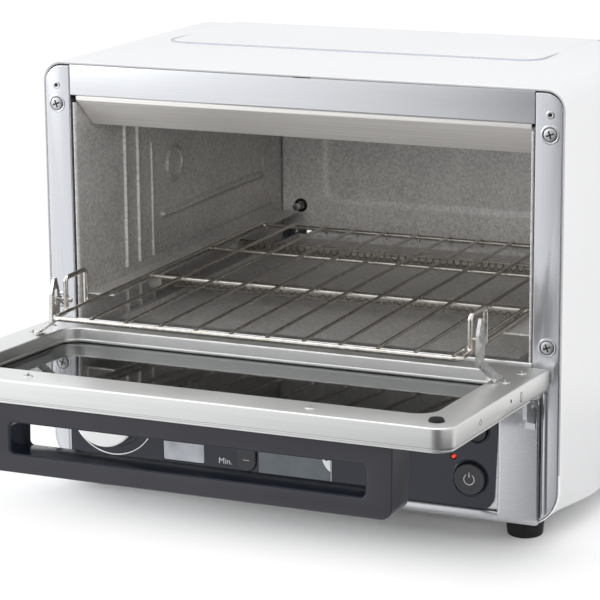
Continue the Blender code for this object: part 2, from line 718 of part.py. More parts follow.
def make_boards():
    """The control board behind the fascia and the power board above the base, each on four posts."""
    left, right, bottom, top = CONTROL_BOARD
    low, high = (left, CONTROL_BOARD_Y, bottom), (right, CONTROL_BOARD_Y + BOARD_THICK, top)
    board = box("control_board", low, high, "circuit_green")
    for index, (x, z) in enumerate(CONTROL_POSTS):
        post = rod(f"control_post_{index}", (x, 7.4, z), "Y", POST_RADIUS, 13.2, None, sides=12)
        boolean(board, post, "UNION")
    left, right, front, rear = POWER_BOARD
    low, high = (left, front, POWER_BOARD_Z), (right, rear, POWER_BOARD_Z + BOARD_THICK)
    board = box("power_board", low, high, "circuit_green")
    for index, (x, y) in enumerate(POWER_POSTS):
        post = rod(f"power_post_{index}", (x, y, POWER_BOARD_Z - 2.4), "Z", POST_RADIUS, 6.4, None, sides=12)
        boolean(board, post, "UNION")


def key_outline(x, grow):
    """A key with a square top and a U-shaped bottom."""
    half = KEY_HALF_WIDTH + grow
    low, high = KEY_Z - KEY_HALF_HEIGHT - grow, KEY_Z + KEY_HALF_HEIGHT + grow
    foot = half - 0.1
    corners = [(x - half, low, foot), (x + half, low, foot), (x + half, high, 1.0), (x - half, high, 1.0)]
    return round_corners(corners, steps=5)


def make_controls():
    """The dial with its bezel and encoder, and the four buttons."""
    inner, outer = BEZEL_INNER, BEZEL_OUTER
    ring = [(inner, 1.4), (outer - 0.8, 1.4), (outer, 0.6), (outer, 0), (inner, 0), (inner, 1.4)]
    turned("dial_bezel", ring, (DIAL_X, PANEL_FRONT_Y - GAP, DIAL_Z), "-Y", "zinc_steel", steps=40)
    front = -DIAL_FRONT_Y
    knob = [
        (0, front),
        (DIAL_RADIUS - 2.2, front),
        (DIAL_RADIUS - 0.6, front - 0.8),
        (DIAL_RADIUS, front - 2.4),
        (DIAL_RADIUS, 5.0),
        (DIAL_SHAFT_RADIUS, 5.0),
        (DIAL_SHAFT_RADIUS, -2.5),
        (0, -2.5),
    ]
    turned("dial_knob", knob, (DIAL_X, 0, DIAL_Z), "-Y", "silver_dial", steps=48)
    rod("dial_encoder", (DIAL_X, 8.2, DIAL_Z), "Y", ENCODER_RADIUS, 10.0, "dark_plastic", sides=24)
    button("power_button", POWER_X, POWER_Z, POWER_RADIUS, 5.0)
    button("start_button", START_X, START_Z, START_RADIUS, 4.2)
    for name, x in (("minus_button", MINUS_X), ("plus_button", PLUS_X)):
        key = outline_solid(name, [key_outline(x, 0.0)], "XZ", KEY_FRONT_Y, KEY_DEPTH, "dark_plastic")
        add_bevel(key, 0.5)


def button(name, x, z, radius, proud):
    """A round push button with a dished face, standing proud of the fascia and reaching behind it."""
    profile = [
        (0, proud - 0.5),
        (radius * 0.7, proud - 0.3),
        (radius - 0.7, proud),
        (radius, proud - 0.7),
        (radius, -4.0),
        (0, -4.0),
    ]
    turned(name, profile, (x, 0, z), "-Y", "dark_plastic", steps=32)


# ---------------------------------------------------------------- door


def make_door():
    pivot = bpy.data.objects.new("door_pivot", None)
    PARTS.objects.link(pivot)
    pivot.location = (0, PIVOT_Y * MM, PIVOT_Z * MM)
    pivot.rotation_euler = (-DOOR_REST_TILT, 0, 0)
    bpy.context.view_layer.update()
    make_door_frame(pivot)
    make_window(pivot)
    make_handle(pivot)
    radius = BUMPER_RADIUS
    bumper = [(0, 1.9), (radius - 1.0, 1.9), (radius, 1.2), (radius, GAP), (0, GAP)]
    for name, sign in (("left", -1), ("right", 1)):
        make_hinge(name, sign)
        make_hook(f"hook_{name}", sign, pivot)
        place = (sign * BUMPER_X, BUMPER_Y, DOOR_INNER)
        turned(f"door_bumper_{name}", bumper, place, "Z", "rubber", pivot, steps=20)


def make_door_frame(pivot):
    """The pressed steel frame, with a pocket for the glass and a pair of lugs about each hinge pin."""
    corners = [
        (-DOOR_HALF, DOOR_FREE_EDGE, DOOR_CORNER),
        (DOOR_HALF, DOOR_FREE_EDGE, DOOR_CORNER),
        (DOOR_HALF, DOOR_HINGE_EDGE, 3.0),
        (-DOOR_HALF, DOOR_HINGE_EDGE, 3.0),
    ]
    window = rectangle(-WINDOW_HALF, WINDOW_HALF, WINDOW_FRONT, WINDOW_REAR, WINDOW_CORNER)
    loops = [round_corners(corners, steps=6), window]
    thickness = DOOR_INNER - DOOR_OUTER
    frame = outline_solid("door_frame", loops, "XY", DOOR_OUTER, thickness, "brushed_steel", pivot)
    # the hinge-side edge is rounded about the hinge axis, so that it clears the sill as the door swings
    edge, inner, cut = DOOR_HINGE_EDGE, DOOR_INNER, DOOR_ROUNDING
    chamfer = cut * (1 - math.sqrt(0.5))
    profile = [
        (edge + 6, inner + 6),
        (edge - cut, inner + 6),
        (edge - cut, inner),
        (edge - chamfer, inner - chamfer),
        (edge, inner - cut),
        (edge + 6, inner - cut),
    ]
    width = 2 * DOOR_HALF + 10
    boolean(frame, outline_solid("door_edge_cutter", [profile], "YZ", -width / 2, width, None, pivot))
    pocket = glass_outline(POCKET_GAP)
    depth = GLASS_TOP + GAP - DOOR_OUTER + 5
    boolean(frame, outline_solid("glass_pocket_cutter", [pocket], "XY", DOOR_OUTER - 5, depth, None, pivot))
    for name, sign in (("left", -1), ("right", 1)):
        lug_x = sign * LUG_X
        for part, shift in (("a", -1), ("b", 1)):
            low = lug_x + shift * (LUG_HALF_GAP + LUG_THICK / 2) - LUG_THICK / 2
            corner, other = (low, -LUG_HALF_WIDTH, -5.0), (low + LUG_THICK, LUG_HALF_WIDTH, 3.0)
            boolean(frame, box(f"lug_{name}_{part}", corner, other, None, pivot), "UNION")
        corner = (lug_x - LUG_HALF_GAP, -6.0, -9.0)
        other = (lug_x + LUG_HALF_GAP, DOOR_HINGE_EDGE + 6, NOTCH_TOP)
        boolean(frame, box(f"hinge_notch_cutter_{name}", corner, other, None, pivot))
        bore = HINGE_PIN_RADIUS + 0.5
        boolean(frame, rod(f"bore_cutter_{name}", (lug_x, 0, 0), "X", bore, 16, None, pivot, sides=16))


def glass_outline(grow):
    """The glass's outline, which laps under the frame all round the window."""
    side = WINDOW_HALF + GLASS_LAP + grow
    front = WINDOW_FRONT - GLASS_LAP - grow
    rear = WINDOW_REAR + GLASS_LAP + grow
    return rectangle(-side, side, front, rear, WINDOW_CORNER)


def make_window(pivot):
    """The glass, and the black trim that holds it from the door's outer face."""
    outline = glass_outline(0.0)
    outline_solid("door_glass", [outline], "XY", GLASS_TOP - GLASS_THICK, GLASS_THICK, "door_glass", pivot)
    trim = [
        rectangle(-154, 154, DOOR_FREE_EDGE + 5, -8.6, 7.0),
        rectangle(-137, 137, WINDOW_FRONT + 3, WINDOW_REAR - 4, WINDOW_CORNER),
    ]
    low = DOOR_OUTER - GAP - TRIM_THICK
    outline_solid("door_outer_trim", trim, "XY", low, TRIM_THICK, "gloss_black", pivot)


def make_hinge(name, sign):
    """The fixed half of the hinge: a bracket that stands out of the fascia's top, and its pin."""
    x, y, z = sign * LUG_X, PIVOT_Y, PIVOT_Z
    eye = BRACKET_EYE_RADIUS
    arm = [
        (-1.6, 74.0, 0.0),
        (-1.6, 83.0, 0.0),
        (y + eye, 85.5, 0.0),
        (y + eye, z + eye, eye - 0.1),
        (y - eye, z + eye, eye - 0.1),
        (y - eye, 80.0, 4.0),
    ]
    half = BRACKET_THICK / 2
    loop = round_corners(arm, steps=4)
    bracket = outline_solid(f"hinge_bracket_{name}", [loop], "YZ", x - half, BRACKET_THICK, "zinc_steel")
    left, right = sorted((x - sign * 5.0, x + sign * half))
    low = (left, -3.2, BRACKET_FLANGE_Z)
    high = (right, -1.55, BRACKET_FLANGE_Z + BRACKET_FLANGE_HEIGHT)
    boolean(bracket, box(f"hinge_flange_{name}", low, high, None), "UNION")
    hole = HINGE_PIN_RADIUS + 0.2
    boolean(bracket, rod(f"hinge_hole_cutter_{name}", (x, y, z), "X", hole, 10, None, sides=16))
    pin_name = f"hinge_pin_{name}"
    rod(pin_name, (x, y, z), "X", HINGE_PIN_RADIUS, HINGE_PIN_LENGTH, "zinc_steel", sides=16, bevel=0.3)


def make_handle(pivot):
    """The handle: a thick ring that stands out of the door's face near its free edge."""
    left, right, low, high = HANDLE_SLOT
    corners = [
        (HANDLE_LEFT, HANDLE_BOTTOM, 6.0),
        (HANDLE_RIGHT, HANDLE_BOTTOM, 6.0),
        (HANDLE_RIGHT, HANDLE_TOP, 1.5),
        (HANDLE_LEFT, HANDLE_TOP, 1.5),
    ]
    loops = [round_corners(corners, steps=4), rectangle(left, right, low, high, 3.5, 4)]
    depth = HANDLE_REAR - HANDLE_FRONT
    outline_solid("door_handle", loops, "XZ", HANDLE_FRONT, depth, "dark_plastic", pivot)


def make_hook(name, sign, pivot):
    """A folded strip: a foot on the door, a slant inwards and an upright plate, slotted and pointed."""
    foot_z = DOOR_INNER + GAP
    path = [(sign * HOOK_FOOT_X, foot_z), (sign * HOOK_X, HOOK_BEND_Z), (sign * HOOK_X, HOOK_TIP_Z)]
    profile = sheet_profile(path if sign < 0 else path[::-1], HOOK_THICK)
    start = HOOK_Y - HOOK_HALF_WIDTH
    hook = outline_solid(name, [profile], "XZ", start, 2 * HOOK_HALF_WIDTH, "chrome_wire", pivot)
    low = (sign * HOOK_FOOT_X - 8, HOOK_Y - 10, foot_z - 6)
    high = (sign * HOOK_FOOT_X + 8, HOOK_Y + 10, foot_z)
    boolean(hook, box(f"{name}_foot_cutter", low, high, None, pivot))
    left, right = sorted((sign * (HOOK_X - 6), sign * (HOOK_X + 6)))
    for part, side in (("front", -1), ("rear", 1)):
        edge = HOOK_Y + side * HOOK_HALF_WIDTH
        corner = [
            (edge + side * 2, HOOK_TIP_Z - 9),
            (edge, HOOK_TIP_Z - 9),
            (HOOK_Y + side * 1.6, HOOK_TIP_Z - 1.0),
            (HOOK_Y + side * 0.9, HOOK_TIP_Z + 2),
            (edge + side * 2, HOOK_TIP_Z + 2),
        ]
        tip = outline_solid(f"{name}_tip_cutter_{part}", [corner], "YZ", left, right - left, None, pivot)
        boolean(hook, tip)
    slot = rectangle(HOOK_Y - HOOK_SLOT_HALF, HOOK_Y + HOOK_SLOT_HALF, HOOK_SLOT_LOW, HOOK_SLOT_HIGH, 1.5, 3)
    boolean(hook, outline_solid(f"{name}_slot_cutter", [slot], "YZ", left, right - left, None, pivot))
    # the pin stands on a round ear at the plate's rear edge, and runs inwards through the rack's loop
    plate_x = sign * (HOOK_X + HOOK_THICK / 2)
    ear_y = HOOK_PIN_Y - 0.4
    ear_place, ear_radius = (plate_x, ear_y, HOOK_PIN_Z), HOOK_EAR_RADIUS
    boolean(hook, rod(f"{name}_ear", ear_place, "X", ear_radius, HOOK_THICK, None, pivot, sides=20), "UNION")
    low = (plate_x - HOOK_THICK / 2, HOOK_Y, HOOK_PIN_Z - ear_radius)
    high = (plate_x + HOOK_THICK / 2, ear_y, HOOK_PIN_Z + ear_radius)
    boolean(hook, box(f"{name}_ear_root", low, high, None, pivot), "UNION")
    pin_place = (sign * (HOOK_X - 3.2), HOOK_PIN_Y, HOOK_PIN_Z)
    pin = rod(f"{name}_pin", pin_place, "X", HOOK_PIN_RADIUS, HOOK_PIN_LENGTH, None, pivot, sides=16)
    boolean(hook, pin, "UNION")


# ---------------------------------------------------------------- rack


def make_rack():
    """The wire rack: one bent frame wire with an upright loop beside each hook, and a welded grid."""
    half = [
        (RACK_SIDE_X, RACK_FRONT_Y, 0.0, RACK_CORNER),
        (RACK_SIDE_X, ARCH_FRONT_Y, 0.0, ARCH_CORNER),
        (RACK_SIDE_X, ARCH_FRONT_Y, ARCH_TOP_Z, ARCH_CORNER),
        (RACK_SIDE_X, ARCH_REAR_Y, ARCH_TOP_Z, ARCH_CORNER),
        (RACK_SIDE_X, ARCH_REAR_Y, 0.0, ARCH_CORNER),
        (RACK_SIDE_X, RACK_REAR_Y, 0.0, RACK_CORNER),
    ]
    mirrored = [(-x, y, z, radius) for x, y, z, radius in reversed(half)]
    loop = round_corners(half + mirrored, steps=4)
    rack = wire("wire_rack", loop, FRAME_WIRE, "chrome_wire", closed=True)
    rack.location = (0, 0, RACK_Z * MM)
    for index in range(GRID_COUNT):
        x = -GRID_OUTER_X + 2 * GRID_OUTER_X * index / (GRID_COUNT - 1)
        points = [
            (x, RACK_FRONT_Y, GRID_RISE),
            (x, RACK_REAR_Y, GRID_RISE),
            (x, RACK_REAR_Y + 2.6, GRID_RISE - 2.0),
            (x, RACK_REAR_Y + 2.6, GRID_TAIL_Z),
        ]
        weld_wire(rack, f"grid_wire_{index:02d}", points, GRID_WIRE)
    for index, y in enumerate(CROSS_WIRE_YS):
        points = [(-RACK_SIDE_X, y, CROSS_WIRE_Z), (RACK_SIDE_X, y, CROSS_WIRE_Z)]
        weld_wire(rack, f"cross_wire_{index}", points, CROSS_WIRE)


def weld_wire(rack, name, points, radius):
    added = wire(name, points, radius, None)
    added.location = rack.location
    boolean(rack, added, "UNION")


def centre_on_origin():
    """Moves everything so that the origin lies under the middle of the whole oven's box."""
    bpy.context.view_layer.update()
    graph = bpy.context.evaluated_depsgraph_get()
    ys = []
    for obj in PARTS.objects:
        if obj.type == "EMPTY":
            continue
        evaluated = obj.evaluated_get(graph)
        mesh = evaluated.to_mesh()
        ys += [(evaluated.matrix_world @ vertex.co).y for vertex in mesh.vertices]
        evaluated.to_mesh_clear()
    shift = -(min(ys) + max(ys)) / 2
    for obj in bpy.data.objects:
        if obj.parent is None:
            obj.location.y += shift
    bpy.context.view_layer.update()


clear_scene()
PARTS = new_collection("toaster_oven")
CUTTERS = new_collection("cutters")
make_outer_casing()
make_rear_cover()
make_base()
make_front_frame()
make_cavity()
make_crumb_tray()
make_fascia()
make_controls()
make_door()
make_rack()
centre_on_origin()
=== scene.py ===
"""Looks of the toaster oven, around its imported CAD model.

Sizes are in millimetres in the oven's own drawing frame, whose y = 0 is the outer face of the front frame, and
are turned into the model's metres by at(). Door pieces are drawn in the door's frame, whose origin is on the
hinge axis, with +Z out of the inner face and -Y towards the free edge.
"""

import json
import math

import bmesh
import bpy
from mathutils import Matrix, Vector, noise


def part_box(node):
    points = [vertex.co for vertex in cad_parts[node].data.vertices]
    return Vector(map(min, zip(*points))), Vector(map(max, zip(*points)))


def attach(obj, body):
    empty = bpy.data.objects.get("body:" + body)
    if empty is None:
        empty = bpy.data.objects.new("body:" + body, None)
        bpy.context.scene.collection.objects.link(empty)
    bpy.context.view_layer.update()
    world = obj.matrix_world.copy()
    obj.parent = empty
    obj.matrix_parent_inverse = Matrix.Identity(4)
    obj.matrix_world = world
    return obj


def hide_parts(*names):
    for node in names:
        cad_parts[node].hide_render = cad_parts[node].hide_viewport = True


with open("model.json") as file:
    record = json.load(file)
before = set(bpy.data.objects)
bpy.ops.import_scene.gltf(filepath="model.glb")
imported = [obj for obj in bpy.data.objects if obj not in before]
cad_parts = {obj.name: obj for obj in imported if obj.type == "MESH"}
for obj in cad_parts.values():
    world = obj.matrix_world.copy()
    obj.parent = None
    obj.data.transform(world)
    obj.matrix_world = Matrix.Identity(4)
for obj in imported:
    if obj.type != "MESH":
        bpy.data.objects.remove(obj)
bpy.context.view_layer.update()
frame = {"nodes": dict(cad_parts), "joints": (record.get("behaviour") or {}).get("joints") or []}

MM = 0.001
NODES = frame["nodes"]
JOINTS = {joint["name"]: joint for joint in frame["joints"]}


def box_mm(node):
    """A CAD node's lowest and highest corners, in millimetres of the drawing frame."""
    low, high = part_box(node)
    shift = Vector((0, FRONT_Y, 0))
    return (low - shift) / MM, (high - shift) / MM


FRONT_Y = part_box("front_column_left")[0].y
TO_MODEL = Matrix.Translation((0, FRONT_Y, 0)) @ Matrix.Scale(MM, 4)
CASE_LOW, CASE_HIGH = box_mm("outer_casing")
COLUMN_LOW, COLUMN_HIGH = box_mm("front_column_right")
HEADER_LOW, HEADER_HIGH = box_mm("front_header")
WALL_LOW, WALL_HIGH = box_mm("cavity_wall_left")
REAR_LOW, REAR_HIGH = box_mm("cavity_wall_rear")
FASCIA_LOW, FASCIA_HIGH = box_mm("lower_fascia")
PANEL_LOW, PANEL_HIGH = box_mm("control_panel")

# Door frame of reference: the rest tilt is what is left of a right angle when the door is shut
DOOR_TILT = math.radians(90.0 - JOINTS["door_hinge"]["range_deg"][1])
PIVOT = (Vector(JOINTS["door_hinge"]["pos_m"]) - Vector((0, FRONT_Y, 0))) / MM
DOOR = TO_MODEL @ Matrix.Translation(PIVOT) @ Matrix.Rotation(-DOOR_TILT, 4, "X")

# Casing
CORNER_RADIUS = 12.0
ROOF_FLAT_TO = 196.0
ROOF_BEND_RADIUS = 110.0
ROOF_SLOPE = math.radians(12.0)
EMBOSS = (-134.0, 116.0, 100.0, 234.0)
EMBOSS_RADIUS = 14.0
EMBOSS_HEIGHT = 1.0
EMBOSS_EDGE = 2.6
HEM_RADIUS = 22.0
HEM_REAR_RADIUS = 3.0
SHEET = 0.8

# Cavity
CEILING_BEND_Y = 180.0

# Door, in its own frame
DOOR_HALF = 161.0
DOOR_FREE_EDGE = -155.0
DOOR_HINGE_EDGE = 11.0
DOOR_INNER = 11.5
DOOR_OUTER = -0.7
DOOR_CORNER = 11.0
WINDOW = (-140.0, 140.0, -127.5, -10.5)
WINDOW_CORNER = 12.0
LUG_X = 150.5
HANDLE = (-118.0, 127.5, -42.6, -2.3)
HANDLE_FRONT = -149.0
HANDLE_REAR = -125.0
HANDLE_SLOT = (-102.0, 112.8, -32.2, -13.4)

# Controls
DIAL_RING = 29.8

# Rack
RACK_Z = 125.5
RACK_SIDE_X = 128.0
RACK_FRONT_Y = -65.0
RACK_REAR_Y = 230.0
ARCH = (-48.0, -23.0, 21.0)
FRAME_WIRE = 1.5
GRID_WIRE = 1.1
GRID_COUNT = 12
GRID_OUTER_X = 124.6


# ---------------------------------------------------------------- node helpers


def add_node(tree, kind, inputs=None, **settings):
    """A shader node with its settings, and its inputs set to values or linked from sockets."""
    made = tree.nodes.new(kind)
    for name, value in settings.items():
        setattr(made, name, value)
    for name, value in (inputs or {}).items():
        socket = made.inputs[name]
        if isinstance(value, bpy.types.NodeSocket):
            tree.links.new(value, socket)
        else:
            socket.default_value = value
    return made


def ramp(tree, factor, stops):
    """A colour ramp over factor. stops are (position, grey or colour)."""
    made = add_node(tree, "ShaderNodeValToRGB", {"Fac": factor})
    elements = made.color_ramp.elements
    while len(elements) < len(stops):
        elements.new(0.5)
    for element, (position, value) in zip(elements, stops):
        color = (value,) * 3 if isinstance(value, (int, float)) else value
        element.position = position
        element.color = (*color, 1.0)
    return made.outputs["Color"]


def new_material(name):
    """A material's (tree, principled shader, object coordinates)."""
    material = bpy.data.materials.new(name)
    material.use_nodes = True
    tree = material.node_tree
    coords = add_node(tree, "ShaderNodeTexCoord").outputs["Object"]
    return material, tree, tree.nodes["Principled BSDF"], coords


def noise_field(tree, coords, stretch, detail=4.0, roughness=0.55):
    """Noise stretched by its repeats per metre along X, Y and Z."""
    mapped = add_node(tree, "ShaderNodeMapping", {"Vector": coords, "Scale": stretch})
    inputs = {"Vector": mapped.outputs["Vector"], "Scale": 1.0, "Detail": detail, "Roughness": roughness}
    return add_node(tree, "ShaderNodeTexNoise", inputs).outputs["Fac"]


def link_bump(tree, shader, height, strength, distance):
    bump = add_node(tree, "ShaderNodeBump", {"Height": height, "Strength": strength, "Distance": distance})
    tree.links.new(bump.outputs["Normal"], shader.inputs["Normal"])


def mix_float(tree, operation, first, second):
    return add_node(tree, "ShaderNodeMath", {0: first, 1: second}, operation=operation).outputs[0]


# ---------------------------------------------------------------- materials


def brushed_metal(name, dark, light, roughness, grain, bump=0.12, smudge=0.06, stretch=0.0, metallic=1.0):
    """Brushed metal. grain is its repeats per metre along X, Y and Z, low along the brushing.

    stretch spreads its reflections across a brushing that runs along X.
    """
    material, tree, shader, coords = new_material(name)
    streaks = noise_field(tree, coords, grain, 3.0)
    fine = noise_field(tree, coords, [value * 3.1 for value in grain], 2.0)
    clouds = noise_field(tree, coords, (14, 14, 14), 3.0)
    both = mix_float(tree, "ADD", mix_float(tree, "MULTIPLY", streaks, 0.6), mix_float(tree, "MULTIPLY", fine, 0.4))
    tree.links.new(ramp(tree, both, [(0.3, dark), (0.7, light)]), shader.inputs["Base Color"])
    low, high = roughness
    rough = ramp(tree, both, [(0.3, low), (0.7, high)])
    cloud = mix_float(tree, "MULTIPLY", mix_float(tree, "SUBTRACT", clouds, 0.5), smudge * 2)
    tree.links.new(mix_float(tree, "ADD", rough, cloud), shader.inputs["Roughness"])
    link_bump(tree, shader, both, bump, 0.0002)
    shader.inputs["Metallic"].default_value = metallic
    if stretch:
        shader.inputs["Anisotropic"].default_value = stretch
        tangent = add_node(tree, "ShaderNodeTangent", direction_type="RADIAL", axis="X")
        tree.links.new(tangent.outputs[0], shader.inputs["Tangent"])
    return material


def speckled_metal(name, dark, light, roughness, metallic=0.75):
    """Aluminised sheet: a matt mottle of small grains over soft clouds."""
    material, tree, shader, coords = new_material(name)
    cells = add_node(tree, "ShaderNodeTexVoronoi", {"Vector": coords, "Scale": 620.0, "Randomness": 1.0})
    grains = ramp(tree, cells.outputs["Color"], [(0.0, 0.0), (1.0, 1.0)])
    fine = noise_field(tree, coords, (900, 900, 900), 3.0, 0.7)
    clouds = noise_field(tree, coords, (22, 22, 22), 5.0, 0.6)
    value = mix_float(tree, "ADD", mix_float(tree, "MULTIPLY", fine, 0.5), mix_float(tree, "MULTIPLY", clouds, 0.25))
    value = mix_float(tree, "ADD", value, mix_float(tree, "MULTIPLY", grains, 0.25))
    tree.links.new(ramp(tree, value, [(0.28, dark), (0.72, light)]), shader.inputs["Base Color"])
    tree.links.new(ramp(tree, value, [(0.2, roughness - 0.1), (0.8, roughness + 0.1)]), shader.inputs["Roughness"])
    link_bump(tree, shader, value, 0.25, 0.0002)
    shader.inputs["Metallic"].default_value = metallic
    return material


def enamel(name, color, roughness):
    """Powder-coated sheet, with a faint orange peel."""
    material, tree, shader, coords = new_material(name)
    peel = noise_field(tree, coords, (420, 420, 420), 2.0)
    clouds = noise_field(tree, coords, (9, 9, 9), 4.0)
    shade = [tuple(channel * factor for channel in color) for factor in (0.97, 1.0)]
    tree.links.new(ramp(tree, clouds, [(0.35, shade[0]), (0.65, shade[1])]), shader.inputs["Base Color"])
    tree.links.new(ramp(tree, clouds, [(0.3, roughness - 0.04), (0.7, roughness + 0.05)]), shader.inputs["Roughness"])
    link_bump(tree, shader, peel, 0.05, 0.0002)
    return material


def plastic(name, color, roughness, texture=700, bump=0.12, specular=0.5):
    """Moulded plastic with a fine spark texture and slightly worn gloss."""
    material, tree, shader, coords = new_material(name)
    grain = noise_field(tree, coords, (texture, texture, texture), 2.0)
    clouds = noise_field(tree, coords, (16, 16, 16), 4.0)
    shade = [tuple(channel * factor for channel in color) for factor in (0.92, 1.08)]
    tree.links.new(ramp(tree, clouds, [(0.3, shade[0]), (0.7, shade[1])]), shader.inputs["Base Color"])
    rough = ramp(tree, clouds, [(0.3, max(roughness - 0.05, 0.02)), (0.7, roughness + 0.05)])
    tree.links.new(rough, shader.inputs["Roughness"])
    link_bump(tree, shader, grain, bump, 0.0001)
    shader.inputs["Specular IOR Level"].default_value = specular
    return material


def wire_metal(name, dark, light, roughness):
    """Chromed wire with faint drawing marks."""
    material, tree, shader, coords = new_material(name)
    marks = noise_field(tree, coords, (260, 260, 260), 4.0)
    tree.links.new(ramp(tree, marks, [(0.3, dark), (0.7, light)]), shader.inputs["Base Color"])
    tree.links.new(ramp(tree, marks, [(0.3, roughness), (0.7, roughness + 0.14)]), shader.inputs["Roughness"])
    link_bump(tree, shader, marks, 0.06, 0.0001)
    shader.inputs["Metallic"].default_value = 1.0
    return material


def clear_glass(name, color, roughness=0.02):
    material, tree, shader, coords = new_material(name)
    film = noise_field(tree, coords, (30, 30, 30), 5.0)
    tree.links.new(ramp(tree, film, [(0.4, roughness), (0.75, roughness + 0.05)]), shader.inputs["Roughness"])
    tint = ramp(tree, film, [(0.3, tuple(value * 0.96 for value in color)), (0.7, color)])
    tree.links.new(tint, shader.inputs["Base Color"])
    shader.inputs["Transmission Weight"].default_value = 1.0
    shader.inputs["IOR"].default_value = 1.5
    return material


def lamp(name, color, strength):
    material, tree, shader, coords = new_material(name)
    core = noise_field(tree, coords, (300, 300, 300), 1.0)
    shade = ramp(tree, core, [(0.2, tuple(value * 0.8 for value in color)), (0.8, color)])
    tree.links.new(shade, shader.inputs["Base Color"])
    tree.links.new(shade, shader.inputs["Emission Color"])
    shader.inputs["Emission Strength"].default_value = strength
    shader.inputs["Roughness"].default_value = 0.2
    return material


def lcd_glass(name, dark, light):
    """A grey liquid-crystal window under a clear lens."""
    material, tree, shader, coords = new_material(name)
    haze = noise_field(tree, coords, (55, 55, 55), 2.0)
    tree.links.new(ramp(tree, haze, [(0.35, dark), (0.65, light)]), shader.inputs["Base Color"])
    tree.links.new(ramp(tree, haze, [(0.3, 0.25), (0.7, 0.35)]), shader.inputs["Roughness"])
    shader.inputs["Coat Weight"].default_value = 1.0
    return material


BRUSHED_X = (6, 1500, 1500)
BRUSHED_Z = (1500, 1500, 6)
MATERIALS = {
    "white_enamel": enamel("white_enamel", (0.755, 0.755, 0.76), 0.4),
    # A grey enamel for painted shade on the casing's rolled front edge.
    "enamel_painted_shade": enamel("enamel_painted_shade", (0.4, 0.4, 0.41), 0.4),
    # A grey-blue enamel for the painted shade along the edge of the roof's pressed panel.
    "enamel_crease_painted_shade": enamel("enamel_crease_painted_shade", (0.42, 0.44, 0.48), 0.5),
    "column_steel": brushed_metal(
        "column_steel", (0.66, 0.67, 0.70), (0.74, 0.75, 0.78), (0.26, 0.34), BRUSHED_Z, 0.06
    ),
    "brushed_steel": brushed_metal(
        "brushed_steel", (0.60, 0.60, 0.61), (0.78, 0.78, 0.78), (0.22, 0.38), BRUSHED_X, 0.16
    ),
    "header_steel": brushed_metal(
        "header_steel", (0.71, 0.72, 0.745), (0.76, 0.77, 0.79), (0.3, 0.35), BRUSHED_X, 0.03
    ),
    # Lighter and slightly warmer than the other steels: painted brightening of the visor's downward face and a painted
    # warm reflection, over the steel's own tone.
    "visor_steel_painted_light": brushed_metal(
        "visor_steel_painted_light", (0.7, 0.68, 0.66), (0.92, 0.9, 0.875), (0.36, 0.5), BRUSHED_X, 0.12, metallic=0.68
    ),
    "fascia_steel": brushed_metal("fascia_steel", (0.6, 0.6, 0.62), (0.68, 0.68, 0.7), (0.26, 0.32), BRUSHED_X, 0.04),
    "door_steel": brushed_metal(
        "door_steel", (0.74, 0.74, 0.725), (0.81, 0.81, 0.795), (0.36, 0.42), BRUSHED_X, 0.05, stretch=0.4
    ),
    "aluminised_steel": speckled_metal("aluminised_steel", (0.42, 0.41, 0.4), (0.88, 0.86, 0.84), 0.42, 0.5),
    "screw_steel": brushed_metal("screw_steel", (0.5, 0.5, 0.5), (0.74, 0.74, 0.74), (0.42, 0.55), (500, 500, 500), 0.2),
    "zinc_steel": brushed_metal("zinc_steel", (0.55, 0.55, 0.56), (0.72, 0.72, 0.73), (0.25, 0.4), (300, 300, 300)),
    "chrome_wire": wire_metal("chrome_wire", (0.62, 0.58, 0.52), (0.82, 0.79, 0.74), 0.14),
    "hook_steel": wire_metal("hook_steel", (0.68, 0.67, 0.65), (0.82, 0.81, 0.79), 0.22),
    "door_glass": clear_glass("door_glass", (0.09, 0.1, 0.1)),
    "dark_plastic": plastic("dark_plastic", (0.03, 0.03, 0.036), 0.4),
    "grip_plastic": plastic("grip_plastic", (0.02, 0.02, 0.026), 0.36, 900, 0.06),
    "key_plastic": plastic("key_plastic", (0.03, 0.03, 0.036), 0.38),
    "gloss_black": plastic("gloss_black", (0.013, 0.016, 0.026), 0.16, 120, 0.02),
    "silver_dial": plastic("silver_dial", (0.82, 0.82, 0.82), 0.3, 900, 0.05),
    "quartz": clear_glass("quartz", (0.93, 0.9, 0.86), 0.12),
    "ceramic": plastic("ceramic", (0.78, 0.76, 0.7), 0.6, 300, 0.1),
    "coil_wire": wire_metal("coil_wire", (0.16, 0.13, 0.11), (0.3, 0.25, 0.2), 0.4),
    "rubber": plastic("rubber", (0.008, 0.008, 0.009), 0.62, 500, 0.2, 0.25),
    "circuit_green": plastic("circuit_green", (0.02, 0.12, 0.05), 0.35, 250, 0.15),
    "red_lens": lamp("red_lens", (0.9, 0.05, 0.025), 0.9),
    "display_lens": lcd_glass("display_lens", (0.27, 0.29, 0.33), (0.48, 0.5, 0.54)),
    "function_lens": lcd_glass("function_lens", (0.06, 0.075, 0.09), (0.085, 0.105, 0.125)),
    "print_white": plastic("print_white", (0.86, 0.87, 0.88), 0.4, 300, 0.02),
    "print_grey": plastic("print_grey", (0.62, 0.63, 0.65), 0.5, 300, 0.02),
    # A dark grey steel for painted shade: the thin line where the door's edge bends above the rolled rim.
    "seam_painted_shade": brushed_metal("seam_painted_shade", (0.2, 0.2, 0.2), (0.3, 0.3, 0.3), (0.5, 0.6), BRUSHED_X),
    # This near-black is painted shade: it stands in for the shade inside slots, pits, dents, screw recesses and gaps.
    "painted_shade_black": plastic("painted_shade_black", (0.008, 0.008, 0.008), 0.7, 300, 0.05),
}


# ---------------------------------------------------------------- piece helpers


